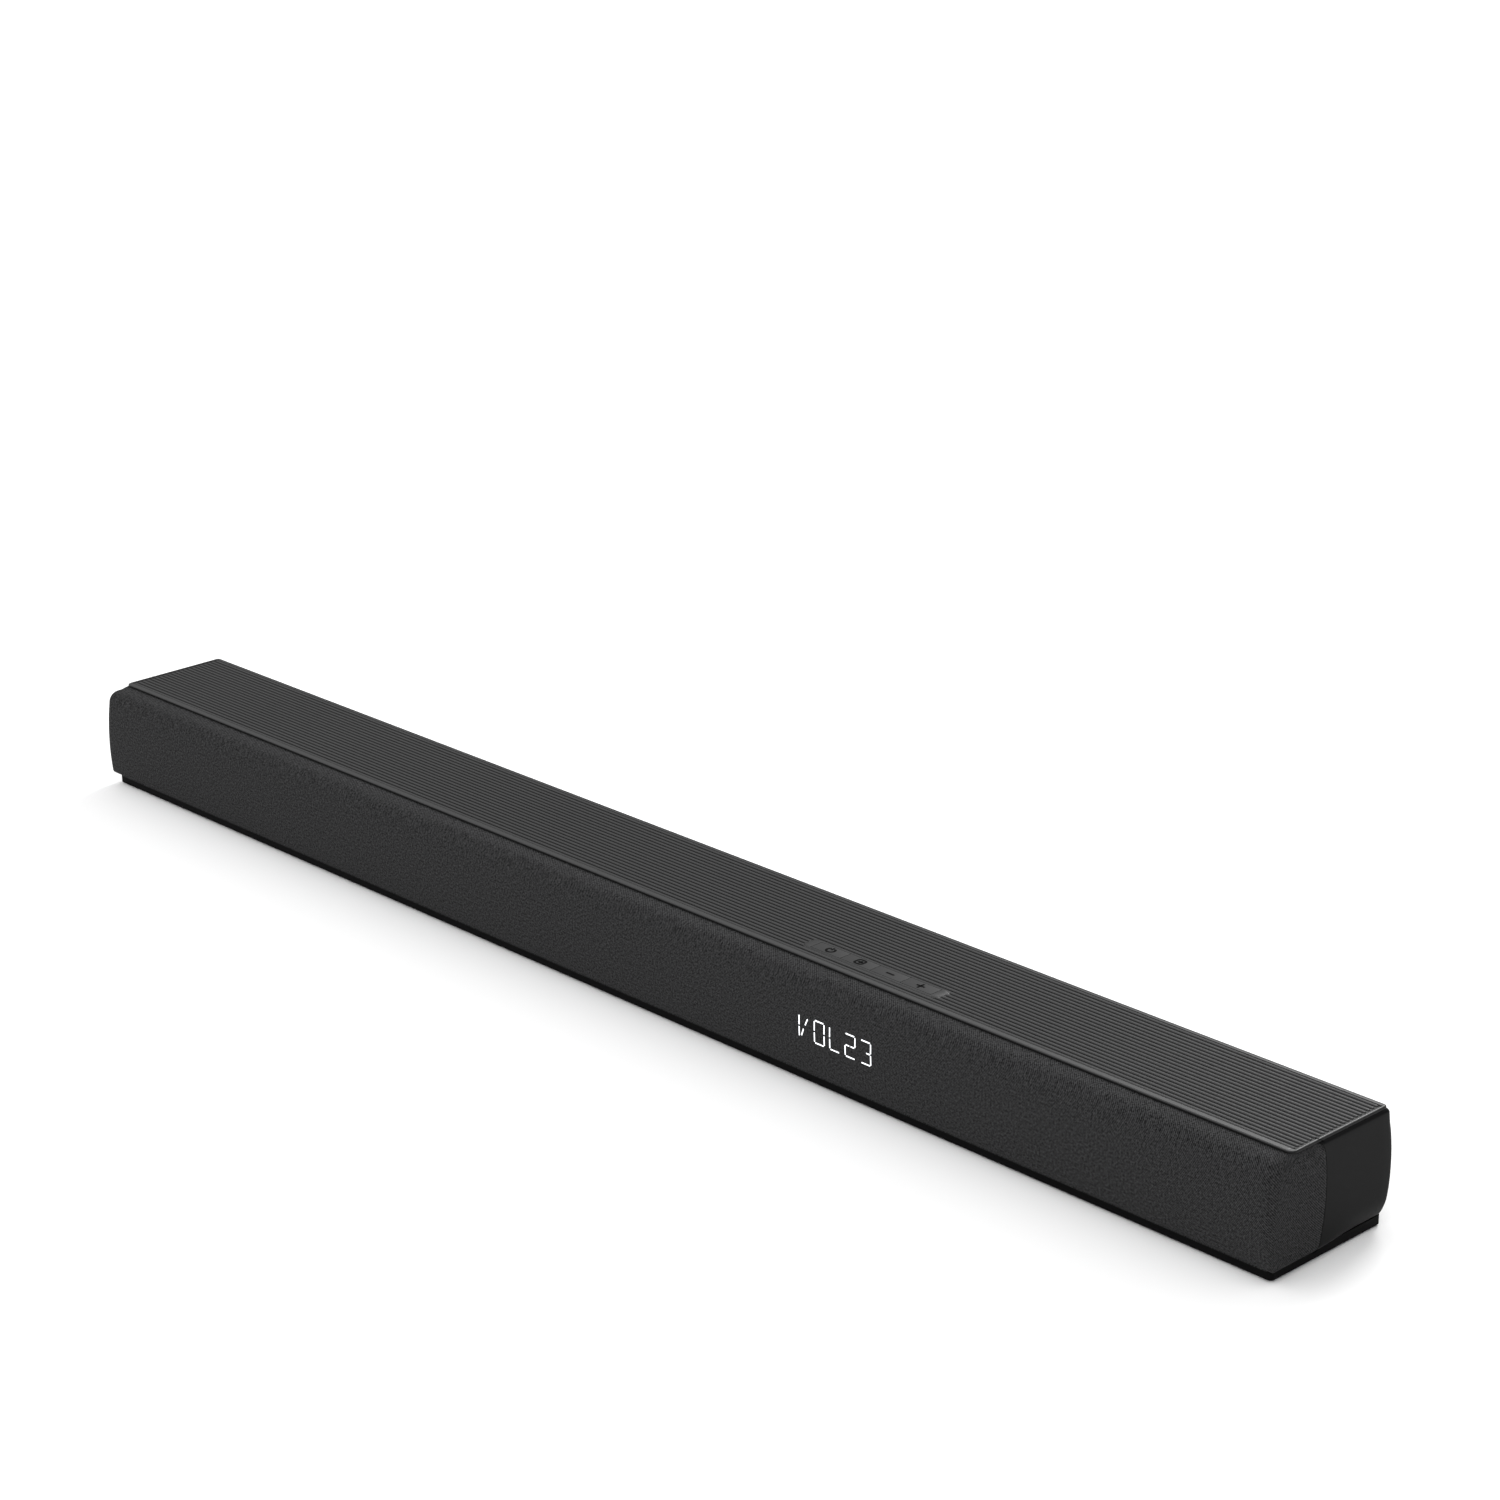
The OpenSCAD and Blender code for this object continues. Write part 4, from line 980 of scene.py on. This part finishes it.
def arc(radius, start, stop, steps=24):
    """Points of an arc about the origin, its angles in degrees from the sign's upward direction."""
    angles = [math.radians(start + (stop - start) * k / steps) for k in range(steps + 1)]
    return [Vector((radius * math.sin(angle), radius * math.cos(angle))) for angle in angles]


def rounded_square(half, radius):
    """Closed outline about the origin."""
    points = []
    for quarter, (sx, sy) in enumerate(((1, 1), (1, -1), (-1, -1), (-1, 1))):
        centre = Vector((sx * (half - radius), sy * (half - radius)))
        points += [centre + point for point in arc(radius, 90 * quarter, 90 * quarter + 90, 5)]
    return points + [points[0]]


def sign_strokes():
    """Strokes of the four signs, in millimetres about each key's middle."""
    power = [arc(2.5, 32, 328), [Vector((0, 3.1)), Vector((0, 0.2))]]
    source = [rounded_square(2.6, 1.5), [Vector((-1.5, 0)), Vector((1.1, 0))],
              [Vector((0.0, 1.3)), Vector((1.4, 0)), Vector((0.0, -1.3))]]
    minus = [[Vector((-2.8, 0)), Vector((2.8, 0))]]
    plus = minus + [[Vector((0, -2.8)), Vector((0, 2.8))]]
    return {"power_key": power, "source_key": source, "volume_down_key": minus, "volume_up_key": plus}


def build_signs(material):
    """The printed signs, each riding on its own key."""
    for key, strokes in sign_strokes().items():
        low, high = (Vector(corner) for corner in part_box(key))
        middle = (low + high) / 2

        def place(point, rise):
            return (middle.x + point.x * MM, middle.y + point.y * MM, high.z + SIGN_LIFT * MM + rise)

        bm = bmesh.new()
        for stroke in strokes:
            ribbon_faces(bm, stroke, SIGN_STROKE, place, SIGN_RISE * MM)
        sign = new_piece(key + "_sign", bm, material, body=key, smooth=False)


def build_display_glow(material):
    """The lit segments as they show on the outside of the cloth, right in front of the display's own."""
    low, high = (Vector(corner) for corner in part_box("display_segments"))
    centre_z = (low.z + high.z) / 2
    first_x = low.x + (FIGURE_STROKE / 2 - 0.05) * MM + FIGURE_SIZE.x / 2 * MM

    def place(point, rise):
        level = centre_z + point.y * MM
        front = value_at(FRONT_PROFILE, level) - FIGURE_LIFT * MM
        return (first_x + point.x * MM, front - rise, level)

    bm = bmesh.new()
    for count, figure in enumerate(FIGURES):
        for start, stop in figure:
            a = Vector(((start[0] - 1) * FIGURE_SIZE.x / 2, (start[1] - 2) * FIGURE_SIZE.y / 4))
            b = Vector(((stop[0] - 1) * FIGURE_SIZE.x / 2, (stop[1] - 2) * FIGURE_SIZE.y / 4))
            way = (b - a).normalized() * FIGURE_GAP
            shift = Vector((count * FIGURE_PITCH, 0))
            a, b = a + way + shift, b - way + shift
            ribbon_faces(bm, [a.lerp(b, k / 4) for k in range(5)], FIGURE_STROKE, place, FIGURE_RISE * MM)
    bmesh.ops.recalc_face_normals(bm, faces=bm.faces[:])
    glow = new_piece("display_glow", bm, material, smooth=False)


# ------------------------------------------------------------------ finishes of the CAD nodes
def dress_nodes():
    black = moulded("housing_plastic", (0.012, 0.012, 0.0125), 0.55, specular=0.15)
    chassis = moulded("chassis_plastic", (0.003, 0.003, 0.0031), 0.62, specular=0.04)
    inner = moulded("inner_plastic", (0.016, 0.016, 0.016), 0.6, specular=0.2)
    keys = moulded("key_plastic", (0.018, 0.018, 0.0184), 0.44, 3200, 0.015, 0.22, 0.05)
    gloss = moulded("gloss_black", (0.01, 0.01, 0.012), 0.15, 900, 0.005, 0.5)
    rubber = moulded("rubber", (0.012, 0.012, 0.012), 0.8, 1500, 0.05, 0.15)
    steel = brushed("nickel_steel", (0.55, 0.55, 0.57))
    zinc = brushed("zinc_plate", (0.5, 0.51, 0.54), 0.35, (20, 20, 20))
    board = circuit_board()
    dress("rear_housing", black, 0.35 * MM)
    panel = moulded("panel_plastic", (0.02, 0.02, 0.021), 0.5)
    dress("connector_panel", panel)
    dress("mains_panel", panel)
    dress("bottom_chassis", chassis, 0.5 * MM)
    dress("rubber_feet", rubber, 0.4 * MM, 3)
    dress("front_baffle", inner)
    dress("grille_frame", inner, 0)
    draw_in_shoulders(nodes["grille_frame"])
    dress("keypad_bezel", keys, 0.1 * MM)
    for key in sign_strokes():
        dress(key, keys, 0.08 * MM)
    for node in ("key_board", "display_board", "main_board", "power_board"):
        dress(node, board, 0.1 * MM)
    dress("key_switches", moulded("switch_plastic", (0.05, 0.05, 0.05), 0.4), 0.1 * MM)
    dress("display_module", gloss, 0.3 * MM)
    dress("display_segments", display_light(), 0.04 * MM)
    dress("infrared_receiver", gloss, 0.2 * MM)
    dress("main_board_parts", moulded("component_epoxy", (0.03, 0.03, 0.034), 0.4), 0.15 * MM)
    dress("power_board_parts", moulded("component_sleeve", (0.02, 0.022, 0.05), 0.35), 0.3 * MM)
    dress("amplifier_heat_sink", brushed("extruded_aluminium", (0.75, 0.76, 0.78), 0.38), 0.1 * MM)
    dress("wireless_module", steel, 0.1 * MM)
    dress("power_transformer", moulded("transformer_tape", (0.55, 0.36, 0.05), 0.35, 600), 0.4 * MM)
    dress("mains_inlet", moulded("inlet_plastic", (0.014, 0.014, 0.014), 0.42), 0.15 * MM)
    dress("digital_sockets", steel, 0.1 * MM)
    dress("optical_socket", inner, 0.1 * MM)
    dress("optical_shutter", moulded("shutter_plastic", (0.03, 0.03, 0.031), 0.38), 0.05 * MM)
    dress("aux_socket", gloss, 0.15 * MM)
    dress("wall_mount_inserts", brushed("turned_brass", (0.72, 0.5, 0.2), 0.3, (30, 1, 30)), 0.15 * MM)
    dress("driver_gaskets", moulded("gasket_foam", (0.04, 0.04, 0.042), 0.9, 900, 0.12), 0.1 * MM)
    dress("driver_screws", zinc, 0.1 * MM)
    dress("board_screws", zinc, 0.1 * MM)
    dress("cabinet_screws", brushed("black_oxide", (0.05, 0.05, 0.055), 0.45, (20, 20, 20)), 0.15 * MM)
    dress("speaker_cables", moulded("cable_vinyl", (0.22, 0.012, 0.012), 0.4, 700), 0)
    dress("ribbon_cables", ribbon_vinyl(), 0)
    dress_drivers()


# How far from the end and the top the frame's shoulders reach, and how far they move in, back and down
SHOULDER_REACH_X, SHOULDER_REACH_Z = 9 * MM, 14 * MM
SHOULDER_IN, SHOULDER_BACK, SHOULDER_DOWN = 1.4 * MM, 1.0 * MM, 1.4 * MM


def draw_in_shoulders(piece):
    """Draws the grille frame's upper end corners in a little, to stay under the rounder cloth."""
    group, start, stop = geometry_group("draw_in_shoulders")
    place, split = group.nodes.new("GeometryNodeInputPosition"), group.nodes.new("ShaderNodeSeparateXYZ")
    group.links.new(place.outputs[0], split.inputs[0])

    def geometry_maths(operation, first, second):
        node = group.nodes.new("ShaderNodeMath")
        node.operation = operation
        for socket, value in zip(node.inputs, (first, second)):
            if isinstance(value, (int, float)):
                socket.default_value = value
            elif value is not None:
                group.links.new(value, socket)
        return node.outputs[0]

    from_middle = geometry_maths("ABSOLUTE", split.outputs["X"], None)
    near_end = geometry_maths("GREATER_THAN", from_middle, END - SHOULDER_REACH_X)
    high = geometry_maths("GREATER_THAN", split.outputs["Z"], TOP - SHOULDER_REACH_Z)
    side = geometry_maths("SIGN", split.outputs["X"], None)
    shift = group.nodes.new("ShaderNodeCombineXYZ")
    group.links.new(geometry_maths("MULTIPLY", side, -SHOULDER_IN), shift.inputs["X"])
    shift.inputs["Y"].default_value = SHOULDER_BACK
    shift.inputs["Z"].default_value = -SHOULDER_DOWN
    move = group.nodes.new("GeometryNodeSetPosition")
    group.links.new(start.outputs[0], move.inputs["Geometry"])
    group.links.new(geometry_maths("MULTIPLY", near_end, high), move.inputs["Selection"])
    group.links.new(shift.outputs[0], move.inputs["Offset"])
    group.links.new(move.outputs[0], stop.inputs[0])
    piece.modifiers.new("draw_in_shoulders", "NODES").node_group = group


def dress_drivers():
    basket = moulded("basket_paint", (0.02, 0.02, 0.021), 0.42, 1200, 0.03, 0.4)
    magnet = brushed("ground_ferrite", (0.16, 0.16, 0.17), 0.5, (12, 12, 12))
    pulp = moulded("cone_pulp", (0.016, 0.016, 0.017), 0.8, 700, 0.15, 0.15, 0.35)
    roll = moulded("surround_rubber", (0.012, 0.012, 0.012), 0.55, 1500, 0.02)
    spider = woven("spider_cloth", (0.30, 0.16, 0.04), (0.55, 0.34, 0.10), 0.9)
    silk = woven("dome_silk", (0.02, 0.02, 0.022), (0.06, 0.06, 0.065), 0.5)
    for side in ("left", "centre", "right"):
        dress(side + "_driver_basket", basket, 0.2 * MM)
        dress(side + "_driver_magnet", magnet, 0.3 * MM)
        dress(side + "_driver_cone", pulp, 0)
        dress(side + "_driver_surround", roll, 0)
        dress(side + "_driver_spider", spider, 0)
    for side in ("left", "right"):
        dress(side + "_tweeter_body", basket, 0.2 * MM)
        dress(side + "_tweeter_dome", silk, 0)


# ------------------------------------------------------------------ the scene
build_camera()
build_stage()
build_cloth(speaker_cloth())
cap_finish = cap_plastic()
build_end_cap("left_end_cap", -1, cap_finish)
build_end_cap("right_end_cap", 1, cap_finish)
build_top_plate(plate_plastic())
build_signs(moulded("sign_ink", (0.002, 0.002, 0.002), 0.6, specular=0.03))
build_display_glow(display_light())
dress_nodes()
